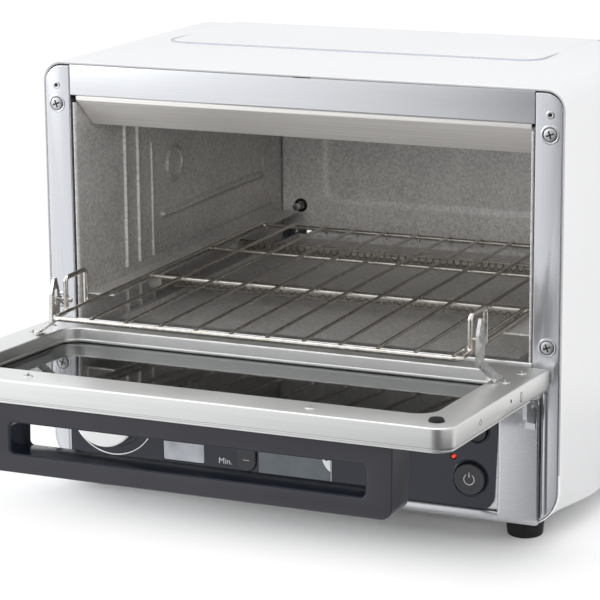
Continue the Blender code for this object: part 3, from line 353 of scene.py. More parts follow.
def dress(obj, material, body="oven", replaces=()):
    """Gives a new piece its material, its body and the CAD nodes that it stands for."""
    obj.data.materials.clear()
    obj.data.materials.append(MATERIALS[material])
    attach(obj, body)
    if replaces:
        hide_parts(*replaces)
    return obj


def new_object(name, data, matrix=TO_MODEL):
    """Links data, drawn in millimetres, as an object whose vertices are in the model's metres."""
    data.transform(matrix)
    obj = bpy.data.objects.new(name, data)
    bpy.context.scene.collection.objects.link(obj)
    return obj


def smooth(obj, angle=32.0):
    obj.data.shade_smooth()
    obj.data.set_sharp_from_angle(angle=math.radians(angle))
    return obj


def bevel(obj, width, segments=2, limit=32.0):
    modifier = obj.modifiers.new("Rounded edges", "BEVEL")
    modifier.width = width * MM
    modifier.segments = segments
    modifier.limit_method = "ANGLE"
    modifier.angle_limit = math.radians(limit)
    modifier.harden_normals = True
    return obj


def solidify(obj, thickness, offset=-1.0):
    modifier = obj.modifiers.new("Sheet", "SOLIDIFY")
    modifier.thickness = thickness * MM
    modifier.offset = offset
    modifier.use_even_offset = True
    return obj


def applied(obj):
    """The object with its modifiers worked into its mesh."""
    bpy.context.view_layer.update()
    graph = bpy.context.evaluated_depsgraph_get()
    mesh = bpy.data.meshes.new_from_object(obj.evaluated_get(graph))
    old = obj.data
    obj.modifiers.clear()
    obj.data = mesh
    bpy.data.meshes.remove(old)
    return obj


def arc_path(corners, steps=8, closed=True):
    """A 2D or 3D path through corners, each (*place, radius), with an arc at each corner that has a radius."""
    path = []
    count = len(corners)
    for index, corner in enumerate(corners):
        here, radius = Vector(corner[:-1]), corner[-1]
        if radius <= 0 or (not closed and index in (0, count - 1)):
            path.append(tuple(here))
            continue
        before = (Vector(corners[index - 1][:-1]) - here).normalized()
        after = (Vector(corners[(index + 1) % count][:-1]) - here).normalized()
        half = before.angle(after) / 2
        start = here + before * (radius / math.tan(half))
        end = here + after * (radius / math.tan(half))
        centre = here + (before + after).normalized() * (radius / math.sin(half))
        for step in range(steps + 1):
            towards = start.lerp(end, step / steps) - centre
            path.append(tuple(centre + towards.normalized() * radius))
    return path


def rounded(left, right, bottom, top, radius, steps=8):
    corners = [(left, bottom, radius), (right, bottom, radius), (right, top, radius), (left, top, radius)]
    return arc_path(corners, steps)


PLANES = {
    "XY": Matrix.Identity(4),
    "XZ": Matrix.Rotation(math.pi / 2, 4, "X"),
    "YZ": Matrix.Rotation(math.pi / 2, 4, "Z") @ Matrix.Rotation(math.pi / 2, 4, "X"),
}
NORMALS = {"XY": Vector((0, 0, 1)), "XZ": Vector((0, 1, 0)), "YZ": Vector((1, 0, 0))}


def plate(name, loops, plane, start, thickness, edge=0.4, matrix=TO_MODEL, rings=3):
    """A flat piece with rounded edges. Its outlines, the first outside and the rest holes, are given a thickness.

    plane XZ is read as (x, z) and runs along +Y, YZ as (y, z) along +X, and XY as (x, y) along +Z.
    """
    curve = bpy.data.curves.new(name, "CURVE")
    curve.dimensions = "2D"
    curve.fill_mode = "BOTH"
    edge = min(edge, thickness * 0.49)
    curve.extrude = thickness / 2 - edge
    curve.bevel_depth = edge
    curve.bevel_resolution = rings
    curve.offset = -edge
    for loop in loops:
        spline = curve.splines.new("POLY")
        spline.points.add(len(loop) - 1)
        for point, (u, v) in zip(spline.points, loop):
            point.co = (u, v, 0.0, 1.0)
        spline.use_cyclic_u = True
    obj = bpy.data.objects.new(name, curve)
    bpy.context.scene.collection.objects.link(obj)
    bpy.context.view_layer.update()
    mesh = bpy.data.meshes.new_from_object(obj.evaluated_get(bpy.context.evaluated_depsgraph_get()))
    bpy.data.objects.remove(obj, do_unlink=True)
    place = Matrix.Translation(NORMALS[plane] * (start + thickness / 2)) @ PLANES[plane]
    made = new_object(name, mesh, matrix @ place)
    shape = bmesh.new()
    shape.from_mesh(mesh)
    bmesh.ops.remove_doubles(shape, verts=shape.verts, dist=1e-7)
    bmesh.ops.recalc_face_normals(shape, faces=shape.faces)
    shape.to_mesh(mesh)
    shape.free()
    mesh.name = name
    return smooth(made)


def bar(name, profile, left, right, matrix=TO_MODEL, edge=0.3):
    """A folded sheet or bar: a closed (y, z) profile run along X with softened ends."""
    return plate(name, [profile], "YZ", left, right - left, edge, matrix, 2)


def folded(points, thickness):
    """The closed outline of a folded sheet: its path, and the same path offset to its left."""
    path = [Vector(point) for point in points]
    other = []
    for index, here in enumerate(path):
        sides = []
        if index > 0:
            sides.append((here - path[index - 1]).normalized())
        if index < len(path) - 1:
            sides.append((path[index + 1] - here).normalized())
        normals = [Vector((-side.y, side.x)) for side in sides]
        mitre = sum(normals, Vector((0.0, 0.0))).normalized()
        other.append(here + mitre * (thickness / mitre.dot(normals[0])))
    return [tuple(point) for point in path + other[::-1]]


def turned(name, profile, centre, axis="Z", steps=64, matrix=TO_MODEL):
    """A surface turned about an axis through centre. The profile is (radius, height), smoothly shaded."""
    shape = bmesh.new()
    rows = []
    for radius, height in profile:
        if radius <= 1e-6:
            rows.append([shape.verts.new((0, 0, height))] * steps)
            continue
        angles = [2 * math.pi * step / steps for step in range(steps)]
        rows.append([shape.verts.new((radius * math.cos(a), radius * math.sin(a), height)) for a in angles])
    for near, far in zip(rows, rows[1:]):
        for step in range(steps):
            after = (step + 1) % steps
            corners = []
            for vertex in (near[step], near[after], far[after], far[step]):
                if vertex not in corners:
                    corners.append(vertex)
            if len(corners) > 2:
                shape.faces.new(corners)
    bmesh.ops.recalc_face_normals(shape, faces=shape.faces)
    mesh = bpy.data.meshes.new(name)
    shape.to_mesh(mesh)
    shape.free()
    turn = {
        "Z": Matrix.Identity(4),
        "-Y": Matrix.Rotation(math.pi / 2, 4, "X"),
        "+Y": Matrix.Rotation(-math.pi / 2, 4, "X"),
        "X": Matrix.Rotation(math.pi / 2, 4, "Y"),
    }[axis]
    return smooth(new_object(name, mesh, matrix @ Matrix.Translation(centre) @ turn), 40)


def round_profile(points, radius=0.6, steps=4):
    """A turned profile whose inner corners are rounded."""
    corners = [(*point, 0.0 if index in (0, len(points) - 1) else radius) for index, point in enumerate(points)]
    return arc_path(corners, steps, closed=False)


def wire(name, paths, radius, closed=False, matrix=TO_MODEL, sides=4):
    """Round wires through the paths, as one mesh."""
    curve = bpy.data.curves.new(name, "CURVE")
    curve.dimensions = "3D"
    curve.bevel_depth = radius
    curve.bevel_resolution = sides
    curve.use_fill_caps = True
    for path in paths:
        spline = curve.splines.new("POLY")
        spline.points.add(len(path) - 1)
        for point, place in zip(spline.points, path):
            point.co = (*place, 1.0)
        spline.use_cyclic_u = closed
    obj = bpy.data.objects.new(name, curve)
    bpy.context.scene.collection.objects.link(obj)
    bpy.context.view_layer.update()
    mesh = bpy.data.meshes.new_from_object(obj.evaluated_get(bpy.context.evaluated_depsgraph_get()))
    bpy.data.objects.remove(obj, do_unlink=True)
    return smooth(new_object(name, mesh, matrix), 50)


def relief_sheet(name, across, along, place, height, matrix=TO_MODEL):
    """A grid sheet over values across and along. place(u, v, h) is its point when raised by h = height(u, v)."""
    shape = bmesh.new()
    rows = [[shape.verts.new(place(u, v, height(u, v))) for u in across] for v in along]
    for near, far in zip(rows, rows[1:]):
        for i in range(len(near) - 1):
            shape.faces.new((near[i], near[i + 1], far[i + 1], far[i]))
    mesh = bpy.data.meshes.new(name)
    shape.to_mesh(mesh)
    shape.free()
    return smooth(new_object(name, mesh, matrix), 50)


def spaced(start, end, step):
    count = max(1, round((end - start) / step))
    return [start + (end - start) * index / count for index in range(count + 1)]


def ease(value, low, high):
    """0 below low, 1 above high, and a smooth rise between."""
    t = min(max((value - low) / (high - low), 0.0), 1.0)
    return t * t * (3 - 2 * t)


def rounded_distance(u, v, left, right, bottom, top, radius):
    """Distance outside a rounded rectangle, negative inside."""
    du = abs(u - (left + right) / 2) - (right - left) / 2 + radius
    dv = abs(v - (bottom + top) / 2) - (top - bottom) / 2 + radius
    return math.hypot(max(du, 0), max(dv, 0)) + min(max(du, dv), 0) - radius


def merged(name, objects):
    """Several new objects made one."""
    mesh = bpy.data.meshes.new(name)
    shape = bmesh.new()
    for obj in objects:
        shape.from_mesh(obj.data)
    shape.to_mesh(mesh)
    shape.free()
    for obj in objects:
        bpy.data.objects.remove(obj, do_unlink=True)
    obj = bpy.data.objects.new(name, mesh)
    bpy.context.scene.collection.objects.link(obj)
    return smooth(obj, 40)


def cut(obj, cutters):
    """Cuts each cutter out of the object, and removes it."""
    for cutter in cutters:
        modifier = obj.modifiers.new("Cut", "BOOLEAN")
        modifier.operation = "DIFFERENCE"
        modifier.object = cutter
        modifier.solver = "EXACT"
    applied(obj)
    for cutter in cutters:
        bpy.data.objects.remove(cutter, do_unlink=True)
    return smooth(obj)


# ---------------------------------------------------------------- casing and front frame


def roof_height(y):
    arc = ROOF_BEND_RADIUS * math.sin(ROOF_SLOPE)
    top = CASE_HIGH.z
    if y <= ROOF_FLAT_TO:
        return top
    if y <= ROOF_FLAT_TO + arc:
        return top - ROOF_BEND_RADIUS + math.sqrt(ROOF_BEND_RADIUS**2 - (y - ROOF_FLAT_TO) ** 2)
    drop = ROOF_BEND_RADIUS * (1 - math.cos(ROOF_SLOPE))
    return top - drop - (y - ROOF_FLAT_TO - arc) * math.tan(ROOF_SLOPE)


def make_casing():
    """The wrap-round cover, with a rolled front edge and a shallow panel pressed into its roof."""
    half = CASE_HIGH.x
    arc_steps = 8
    low = CASE_LOW.z
    roof_x = spaced(-half + CORNER_RADIUS, half - CORNER_RADIUS, 2.4)
    side_z = [0.0, 0.25, 0.5, 0.75, 1.0]
    hem = [(1 - math.cos(a), 1 - math.sin(a)) for a in (1.1, 0.9, 0.7, 0.5, 0.3, 0.15)]
    stations = [(0.9, 1.3), (0.3, 1.0), (0.15, 0.55), (0.55, 0.15), (1.5, 0.0)]
    stations += [(y, 0.0) for y in spaced(4.0, 90.0, 8)[:-1] + spaced(90.0, 240.0, 1.2)[:-1]]
    stations += [(y, 0.0) for y in spaced(240.0, CASE_HIGH.y, 6)]
    shape = bmesh.new()
    rows = []
    for y, inset in stations:
        top = roof_height(y) - inset
        wide = half - inset
        radius = CORNER_RADIUS - inset
        start_z = top - radius
        tuck = HEM_REAR_RADIUS + (HEM_RADIUS - HEM_REAR_RADIUS) * (1 - ease(y, 4.0, 80.0))
        hem_top = low + tuck
        path = [(-wide + tuck * inward, low + tuck * up) for inward, up in hem]
        path += [(-wide, hem_top + (start_z - hem_top) * part) for part in side_z[:-1]]
        for step in range(arc_steps + 1):
            angle = math.pi - math.pi / 2 * step / arc_steps
            path.append((-wide + radius + radius * math.cos(angle), start_z + radius * math.sin(angle)))
        for x in roof_x[1:-1]:
            dent = rounded_distance(x, y, *EMBOSS, EMBOSS_RADIUS)
            raised = EMBOSS_HEIGHT * (1 - ease(dent, -EMBOSS_EDGE / 2, EMBOSS_EDGE / 2))
            path.append((x, top + raised))
        for step in range(arc_steps + 1):
            angle = math.pi / 2 - math.pi / 2 * step / arc_steps
            path.append((wide - radius + radius * math.cos(angle), start_z + radius * math.sin(angle)))
        path += [(wide, hem_top + (start_z - hem_top) * part) for part in side_z[-2::-1]]
        path += [(wide - tuck * inward, low + tuck * up) for inward, up in reversed(hem)]
        rows.append([shape.verts.new((x, y, z)) for x, z in path])
    for near, far in zip(rows, rows[1:]):
        for i in range(len(near) - 1):
            shape.faces.new((near[i], near[i + 1], far[i + 1], far[i]))
    bmesh.ops.recalc_face_normals(shape, faces=shape.faces)
    top_face = max(shape.faces, key=lambda face: face.calc_center_median().z)
    if top_face.normal.z < 0:
        bmesh.ops.reverse_faces(shape, faces=shape.faces)
    mesh = bpy.data.meshes.new("casing_skin")
    shape.to_mesh(mesh)
    shape.free()
    casing = smooth(new_object("casing_skin", mesh), 50)
    solidify(casing, SHEET)
    applied(casing)
    dress(smooth(casing, 50), "white_enamel", replaces=["outer_casing"])
    # A grey wire along the roof's rolled front edge: painted shade on the rolled lip.
    half, top, inset = CASE_HIGH.x - 0.6, CASE_HIGH.z - 0.6, 0.35
    path = [(-half, 44.0, 0), (-half, top, CORNER_RADIUS - 0.6), (half, top, CORNER_RADIUS - 0.6), (half, 44.0, 0)]
    lip = wire("casing_lip_painted_shade", [[(x, inset, z) for x, z in arc_path(path, 10, False)]], 0.5)
    dress(lip, "enamel_painted_shade")
    # A grey wire round the roof's pressed panel: painted shade along the panel's step.
    crease = [(x, y, roof_height(y) + 0.5 * EMBOSS_HEIGHT) for x, y in rounded(*EMBOSS, EMBOSS_RADIUS, 10)]
    dress(wire("roof_crease_painted_shade", [crease], 0.75, True, sides=2), "enamel_crease_painted_shade")
    # The slot in the roof's front edge is a thin near-black plate: painted shade inside the slot.
    nick = plate("roof_front_slot_painted_shade", [rounded(-0.5, 11.0, CASE_HIGH.z - 1.5, CASE_HIGH.z - 0.8, 0.3, 3)], "XZ", 0.0, 0.5, 0.1)
    dress(nick, "painted_shade_black")


def column_outline(side):
    outer, inner, low = COLUMN_HIGH.x - 0.1, COLUMN_LOW.x, FASCIA_HIGH.x + 0.45
    bottom, top, step_z = COLUMN_LOW.z, COLUMN_HIGH.z, 106.0
    corners = [(low, bottom + HEM_RADIUS * (1 - math.sin(1.08)), 0.0)]
    corners += [
        (outer - HEM_RADIUS * (1 - math.cos(a)), bottom + HEM_RADIUS * (1 - math.sin(a)), 0.0)
        for a in (1.0, 0.8, 0.6, 0.4, 0.2, 0.0)
    ]
    corners += [
        (outer, top, CORNER_RADIUS - 1.0),
        (inner, top, 0.8),
        (inner, step_z, 0.8),
        (low, step_z, 1.5),
    ]
    path = arc_path(corners, 8)
    return path if side > 0 else [(-x, z) for x, z in reversed(path)]


def make_front_frame():
    for name, side in (("left", -1), ("right", 1)):
        column = plate(f"column_{name}", [column_outline(side)], "XZ", 0.0, 7.6, 0.7)
        dress(column, "column_steel", replaces=[f"front_column_{name}"])
        x = side * 157.2
        dimple = turned(f"column_dimple_{name}", [(0, 0.02), (0.8, 0.05), (1.1, 0.1), (1.5, 0.3), (2.1, 0.22), (2.5, 0.0)], (x, 0, 253.7), "-Y", 24)
        dress(dimple, "zinc_steel")
        # A near-black disc in the dimple's middle: painted shade in the dimple's hollow.
        pit = turned(f"column_pit_painted_shade_{name}", [(0, 0.04), (0.9, 0.1), (1.15, 0.14), (1.2, 0.0)], (x, 0, 253.7), "-Y", 24)
        dress(pit, "painted_shade_black")
        # a rounded bead runs down beside the fascia
        bead = wire(f"column_bead_{name}", [[(side * 156.6, 0.9, z) for z in (20.0, 40.0, 70.0, 92.5)]], 2.0)
        dress(bead, "column_steel")
    front, back = HEADER_LOW.y, HEADER_HIGH.y
    low, high = HEADER_LOW.z, HEADER_HIGH.z
    outline = arc_path(
        [
            (front + 0.9, low, 0.0),
            (front, low, 0.8),
            (front + 0.1, high + 0.7, 0.5),
            (back, high + 0.7, 0.0),
            (back, high - 0.6, 0.0),
            (front + 1.1, high - 1.0, 0.4),
            (front + 0.9, low + 1.6, 0.0),
            (back - 1.0, low + 1.6, 0.0),
            (back - 1.0, low, 0.0),
        ],
        5,
    )
    header = bar("header_plate", outline, HEADER_LOW.x, HEADER_HIGH.x)
    dress(header, "header_steel", replaces=["front_header"])
    path = arc_path([(4.6, 247.9, 0), (2.2, 247.9, 0.9), (2.4, 244.8, 1.0), (23.5, 227.0, 1.5), (34.0, 227.0, 0)], 5, False)
    baffle = bar("heat_visor", folded(path, 0.7), -145.4, 145.4)
    dress(baffle, "visor_steel_painted_light", replaces=["heat_baffle"])
    sill_low, sill_high = box_mm("front_sill")
    path = arc_path([(sill_high.y, sill_high.z, 0), (0.2, sill_high.z, 1.4), (0.2, sill_low.z, 0)], 5, False)
    sill = bar("sill_plate", folded(path[::-1], -0.8), -148.0, 148.0)
    dress(sill, "brushed_steel", replaces=["front_sill"])


def cross_screw(name, place, axis, radius, matrix=TO_MODEL):
    """A pan-head screw with a cross recess."""
    profile = [(0, 1.1), (radius * 0.55, 1.08), (radius * 0.8, 0.92), (radius * 0.94, 0.55), (radius, 0.0), (radius, -0.3)]
    head = turned(name, profile, place, axis, 40, matrix)
    reach = radius * 0.62
    turn = {"-Y": Matrix.Rotation(math.pi / 2, 4, "X"), "+Y": Matrix.Rotation(-math.pi / 2, 4, "X"), "Z": Matrix.Identity(4)}
    local = matrix @ Matrix.Translation(place) @ turn[axis] @ Matrix.Rotation(math.radians(20), 4, "Z")
    arms = [
        plate(f"{name}_arm_a", [rounded(-reach, reach, -0.5, 0.5, 0.2, 2)], "XY", 0.35, 2.0, 0.05, local, 1),
        plate(f"{name}_arm_b", [rounded(-0.5, 0.5, -reach, reach, 0.2, 2)], "XY", 0.35, 2.0, 0.05, local, 1),
    ]
    return cut(head, arms)


def make_frame_screws():
    for name, side, z in (("upper_left", -1, 242.4), ("upper_right", 1, 242.4), ("lower_left", -1, 119.4), ("lower_right", 1, 119.4)):
        low, high = box_mm(f"frame_screw_{name}")
        centre = (low + high) / 2
        screw = cross_screw(f"screw_{name}", (centre.x, 0.0, centre.z), "-Y", 3.9)
        dress(screw, "screw_steel", replaces=[f"frame_screw_{name}"])
        # A near-black cross laid into the head's recess: painted shade in the cross recess.
        arm, wide = 2.2, 0.42
        cross = [(-wide, -arm), (wide, -arm), (wide, -wide), (arm, -wide), (arm, wide), (wide, wide)]
        cross += [(-x, -z) for x, z in cross]
        spun = [(x * math.cos(0.35) - z * math.sin(0.35), x * math.sin(0.35) + z * math.cos(0.35)) for x, z in cross]
        moved = [(centre.x + x, centre.z + z) for x, z in spun]
        dress(plate(f"screw_cross_painted_shade_{name}", [moved], "XZ", -1.12, 0.5, 0.02), "painted_shade_black")
        # A near-black ring round the head: painted shade in the gap between head and column.
        gap = turned(f"screw_gap_painted_shade_{name}", [(3.7, 0.04), (4.25, 0.08), (4.3, 0.0)], (centre.x, 0, centre.z), "-Y", 40)
        dress(gap, "painted_shade_black")
        ring = turned(f"screw_seat_{name}", [(4.25, 0.06), (4.7, 0.3), (5.3, 0.2), (5.6, 0.0)], (centre.x, 0, centre.z), "-Y", 40)
        dress(ring, "column_steel")


# ---------------------------------------------------------------- cavity


def ceiling_at(y):
    return WALL_HIGH.z - 2.0 - max(0.0, y - CEILING_BEND_Y) * math.tan(ROOF_SLOPE)


def wall_relief(y, z):
    """How far the side wall is pressed inwards at (y, z)."""
    pressed = 0.0
    for centre in (65.0, 82.5):
        pressed += 1.5 * (1 - ease(abs(y - centre), 0.5, 2.2))
    pressed += 1.1 * (1 - ease(abs(y - 102.0), 0.4, 1.8)) * (1 - ease(z, 200.0, 206.0))
    for centre_y, centre_z in ((134.0, 184.0), (283.0, 163.0)):
        ring = abs(math.hypot(y - centre_y, z - centre_z) - 10.5)
        pressed += 1.3 * (1 - ease(ring, 0.3, 1.3))
    groove = rounded_distance(y, z, 114.0, 268.0, 151.0, 155.0, 2.0)
    pressed += 2.2 * (1 - ease(groove, -1.2, 0.9))
    return pressed


def make_cavity():
    across = spaced(0.8, 60.0, 4.0)[:-1] + spaced(60.0, 106.0, 0.5)[:-1] + spaced(106.0, WALL_HIGH.y - 0.4, 1.2)
    parts = spaced(0.0, 1.0, 0.008)
    low = WALL_LOW.z

    def side_place(sign):
        def place(y, part, pressed):
            return (sign * (WALL_HIGH.x * -1 - pressed), y, low + (ceiling_at(y) - low) * part)

        return place

    for name, sign in (("left", -1), ("right", 1)):
        place = side_place(sign)
        height = lambda y, part: wall_relief(y, low + (ceiling_at(y) - low) * part)
        wall = relief_sheet(f"side_wall_{name}", across, parts, place, height)
        wall = solidify(wall, SHEET, 1.0 if sign > 0 else -1.0)
        dress(wall, "aluminised_steel", replaces=[f"cavity_wall_{name}"])

    def rear_height(x, z):
        panel = rounded_distance(x, z, -112, 112, 130, 205, 10)
        return 0.9 * (1 - ease(panel, -1.5, 1.5))

    rear = relief_sheet(
        "rear_wall",
        spaced(REAR_LOW.x, REAR_HIGH.x, 2.0),
        spaced(REAR_LOW.z, REAR_HIGH.z, 2.0),
        lambda x, z, pressed: (x, REAR_LOW.y + 0.5 + pressed, z),
        rear_height,
    )
    rear = solidify(rear, SHEET, 0.0)
    dress(rear, "aluminised_steel", replaces=["cavity_wall_rear"])
    sensor_low, sensor_high = box_mm("temperature_sensor")
    centre = (sensor_low + sensor_high) / 2
    collar = turned("sensor_collar", [(2.5, -1.0), (3.0, 1.2), (4.6, 0.8), (5.0, 0.0)], (centre.x, REAR_LOW.y, centre.z), "-Y", 32)
    dress(collar, "painted_shade_black")
    for name in ("cavity_ceiling", "cavity_floor", "rack_rail_left", "rack_rail_right", "crumb_tray"):
        repaint(name, "aluminised_steel", 0.3)


def repaint(node, material, edge=0.0):
    """A carried-over CAD node with its finished material, and its edges softened."""
    obj = NODES[node]
    obj.data.materials.clear()
    obj.data.materials.append(MATERIALS[material])
    if edge:
        bevel(obj, edge, 2)
    return obj


def make_heaters():
    for name in ("heater_upper_front", "heater_upper_rear", "heater_lower_front", "heater_lower_rear"):
        low, high = box_mm(name)
        centre = (low + high) / 2
        end = high.x
        tube = turned(f"{name}_tube", [(4.0, -end + 6), (4.0, end - 6), (3.1, end - 6), (3.1, -end + 6)], (0, centre.y, centre.z), "X", 32)
        dress(tube, "quartz", replaces=[name])
        turns, points = 54, 12
        coil = [
            (
                -end + 12 + (2 * end - 24) * step / (turns * points),
                centre.y + 2.1 * math.cos(2 * math.pi * step / points),
                centre.z + 2.1 * math.sin(2 * math.pi * step / points),
            )
            for step in range(turns * points + 1)
        ]
        dress(wire(f"{name}_coil", [coil], 0.35, sides=1), "coil_wire")
        for side in (-1, 1):
            profile = round_profile([(0, 9), (5.6, 9), (5.6, 2.5), (6.2, 2.5), (6.2, 0), (0, 0)], 0.4, 3)
            turn = Matrix.Translation((side * end, centre.y, centre.z)) @ Matrix.Rotation(-side * math.pi / 2, 4, "Y")
            cap = turned(f"{name}_cap_{'left' if side < 0 else 'right'}", profile, (0, 0, 0), "Z", 28, TO_MODEL @ turn)
            dress(cap, "ceramic")


# ---------------------------------------------------------------- door


def make_door():
    outline = arc_path(
        [
            (-DOOR_HALF, DOOR_FREE_EDGE, DOOR_CORNER),
            (DOOR_HALF, DOOR_FREE_EDGE, DOOR_CORNER),
            (DOOR_HALF, DOOR_HINGE_EDGE, 4.0),
            (-DOOR_HALF, DOOR_HINGE_EDGE, 4.0),
        ],
        10,
    )
    window = rounded(*WINDOW, WINDOW_CORNER, 10)
    skin = plate("door_skin", [outline, window], "XY", DOOR_OUTER, DOOR_INNER - DOOR_OUTER, 1.1, DOOR, 4)
    shave_profile = [(DOOR_HINGE_EDGE + 6, DOOR_INNER + 6), (DOOR_HINGE_EDGE - 7, DOOR_INNER + 6)]
    for step in range(11):
        angle = math.pi / 2 * (1 - step / 10)
        centre_y, centre_z = DOOR_HINGE_EDGE - 7, DOOR_INNER - 7
        shave_profile.append((centre_y + 7 * math.cos(angle), centre_z + 7 * math.sin(angle)))
    shave_profile.append((DOOR_HINGE_EDGE + 6, DOOR_INNER - 7))
    cutters = [bar("door_edge_cutter", shave_profile, -DOOR_HALF - 5, DOOR_HALF + 5, DOOR, 0.01)]
    for side in (-1, 1):
        notch = rounded(side * LUG_X - 3, side * LUG_X + 3, -6.0, DOOR_HINGE_EDGE + 6, 1.0, 3)
        cutters.append(plate("door_notch_cutter", [notch], "XY", DOOR_OUTER - 5, 5.8 - DOOR_OUTER + 5, 0.05, DOOR, 1))
    glass_low, glass_high = -143.5, 143.5
    pocket = rounded(glass_low, glass_high, WINDOW[2] - 3.5, WINDOW[3] + 3.5, WINDOW_CORNER, 8)
    cutters.append(plate("door_pocket_cutter", [pocket], "XY", DOOR_OUTER - 5, 3.8 - DOOR_OUTER + 5, 0.05, DOOR, 1))
    cut(skin, cutters)
    lugs = []
    for side in (-1, 1):
        for shift in (-1, 1):
            middle = side * LUG_X + shift * 5.2
            lug = arc_path([(-5, -5, 4.6), (5, -5, 4.6), (5, 2, 0), (-5, 2, 0)], 6)
            lugs.append(plate("door_lug", [lug], "YZ", middle - 2.2, 4.4, 0.4, DOOR))
    skin = merged("door_skin", [skin] + lugs)
    dress(smooth(skin), "door_steel", "door", ["door_frame"])
    left, right, low, high = WINDOW
    lip = [
        rounded(left - 1.5, right + 1.5, low - 1.5, high + 1.5, WINDOW_CORNER + 1.5, 10),
        rounded(left + 0.5, right - 0.5, low + 0.5, high - 0.5, WINDOW_CORNER - 0.5, 10),
    ]
    dress(plate("door_window_lip", lip, "XY", 2.56, 2.2, 0.7, DOOR), "door_steel", "door")
    repaint("door_glass", "door_glass", 0.5)
    repaint("door_outer_trim", "gloss_black", 0.2)
    # The second trim is a thin dark grey line round the door's edge: painted shade at the bend above the rolled rim.
    for name, start, depth, inset, material in (("rolled_rim", -1.25, 1.3, 0.8, "door_steel"), ("rim_seam_painted_shade", 1.2, 0.3, -0.02, "seam_painted_shade")):
        wide, near, radius = DOOR_HALF - inset, DOOR_FREE_EDGE + inset, DOOR_CORNER - inset
        rim = [
            (-wide, -24.0, 0), (-wide, near, radius), (wide, near, radius), (wide, -24.0, 0),
            (wide - 3.8, -24.0, 0), (wide - 3.8, near + 3.8, radius - 3.8),
            (3.8 - wide, near + 3.8, radius - 3.8), (3.8 - wide, -24.0, 0),
        ]
        trim = plate(f"door_{name}", [arc_path(rim, 10)], "XY", DOOR_OUTER + start, depth, depth * 0.45, DOOR)
        dress(trim, material, "door")
    for name, side in (("left", -1), ("right", 1)):
        bumper = turned(
            f"bumper_{name}",
            round_profile([(0, 1.9), (3.5, 1.9), (4.2, 0.9), (4.4, 0.05), (4.4, -0.2)], 0.5),
            (side * 148.0, DOOR_FREE_EDGE + 15.5, DOOR_INNER), "Z", 40, DOOR,
        )
        dress(bumper, "rubber", "door", [f"door_bumper_{name}"])
        for place in ((150.8, -12.0), (149.8, -37.5)):
            screw = cross_screw(f"door_screw_{name}_{int(-place[1])}", (side * place[0], place[1], DOOR_INNER - 0.5), "Z", 3.1, DOOR)
            dress(screw, "screw_steel", "door")
        # The oval slit and the two dents on the door's side are near-black pieces: painted shade inside the slit and
        # the dents.
        face = DOOR @ Matrix.Translation((side * DOOR_HALF, -42.0, 5.2)) @ Matrix.Rotation(side * math.pi / 2, 4, "Y")
        oval = [rounded(-2.9, 2.9, -1.5, 1.5, 1.45, 6), rounded(-2.4, 2.4, -1.0, 1.0, 0.95, 6)]
        dress(plate(f"door_side_slot_painted_shade_{name}", oval, "XY", -0.25, 0.32, 0.08, face), "painted_shade_black", "door")
        for index, (y, z) in enumerate(((-59.0, 6.5), (-108.0, 5.4))):
            face = DOOR @ Matrix.Translation((side * DOOR_HALF, y, z)) @ Matrix.Rotation(side * math.pi / 2, 4, "Y")
            profile = [(0, 0.02), (0.6, 0.05), (0.9, 0.12), (1.1, 0.0)] if index == 0 else [(1.3, 0.0), (1.5, 0.1), (1.7, 0.0)]
            dent = turned(f"door_side_dent_{name}_{index}", profile, (0, 0, 0), "Z", 24, face)
            dress(dent, "painted_shade_black", "door")
    for index, x in enumerate((-93.8, 77.1)):
        screw = cross_screw(f"door_front_screw_{index}", (x, DOOR_FREE_EDGE + 13.5, DOOR_INNER - 0.5), "Z", 3.2, DOOR)
        dress(screw, "screw_steel", "door")
    make_handle()
    for name, side in (("left", -1), ("right", 1)):
        hook = repaint(f"hook_{name}", "hook_steel")
        bevel(hook, 0.35, 3)


def make_handle():
    left, right, low, high = HANDLE
    depth = HANDLE_REAR - HANDLE_FRONT
    outer = arc_path([(left, low, 6.5), (right, low, 6.5), (right, high, 1.5), (left, high, 1.5)], 8)
    slot = rounded(*HANDLE_SLOT, 3.2, 8)
    handle = plate("handle_grip", [outer, slot], "XZ", HANDLE_FRONT, depth, 0.9, DOOR, 4)
    dress(handle, "grip_plastic", "door", ["door_handle"])
    slot_left, slot_right, slot_low, slot_high = HANDLE_SLOT
    inner = rounded(slot_left + 0.5, slot_right - 0.5, slot_low + 0.5, slot_high - 0.5, 2.8, 8)
    liner = plate("handle_slot_liner", [slot, inner], "XZ", HANDLE_FRONT + 0.7, depth - 1.4, 0.1, DOOR)
    dress(liner, "gloss_black", "door")
    # A near-black strip where the handle meets the door: painted shade in the gap under the handle.
    foot = [rounded(left + 3, right - 3, HANDLE_FRONT + 2.5, HANDLE_REAR - 2.5, 3.0, 6)]
    dress(plate("handle_foot_painted_shade", foot, "XY", high - 0.4, 1.2, 0.2, DOOR), "painted_shade_black", "door")


# ---------------------------------------------------------------- rack


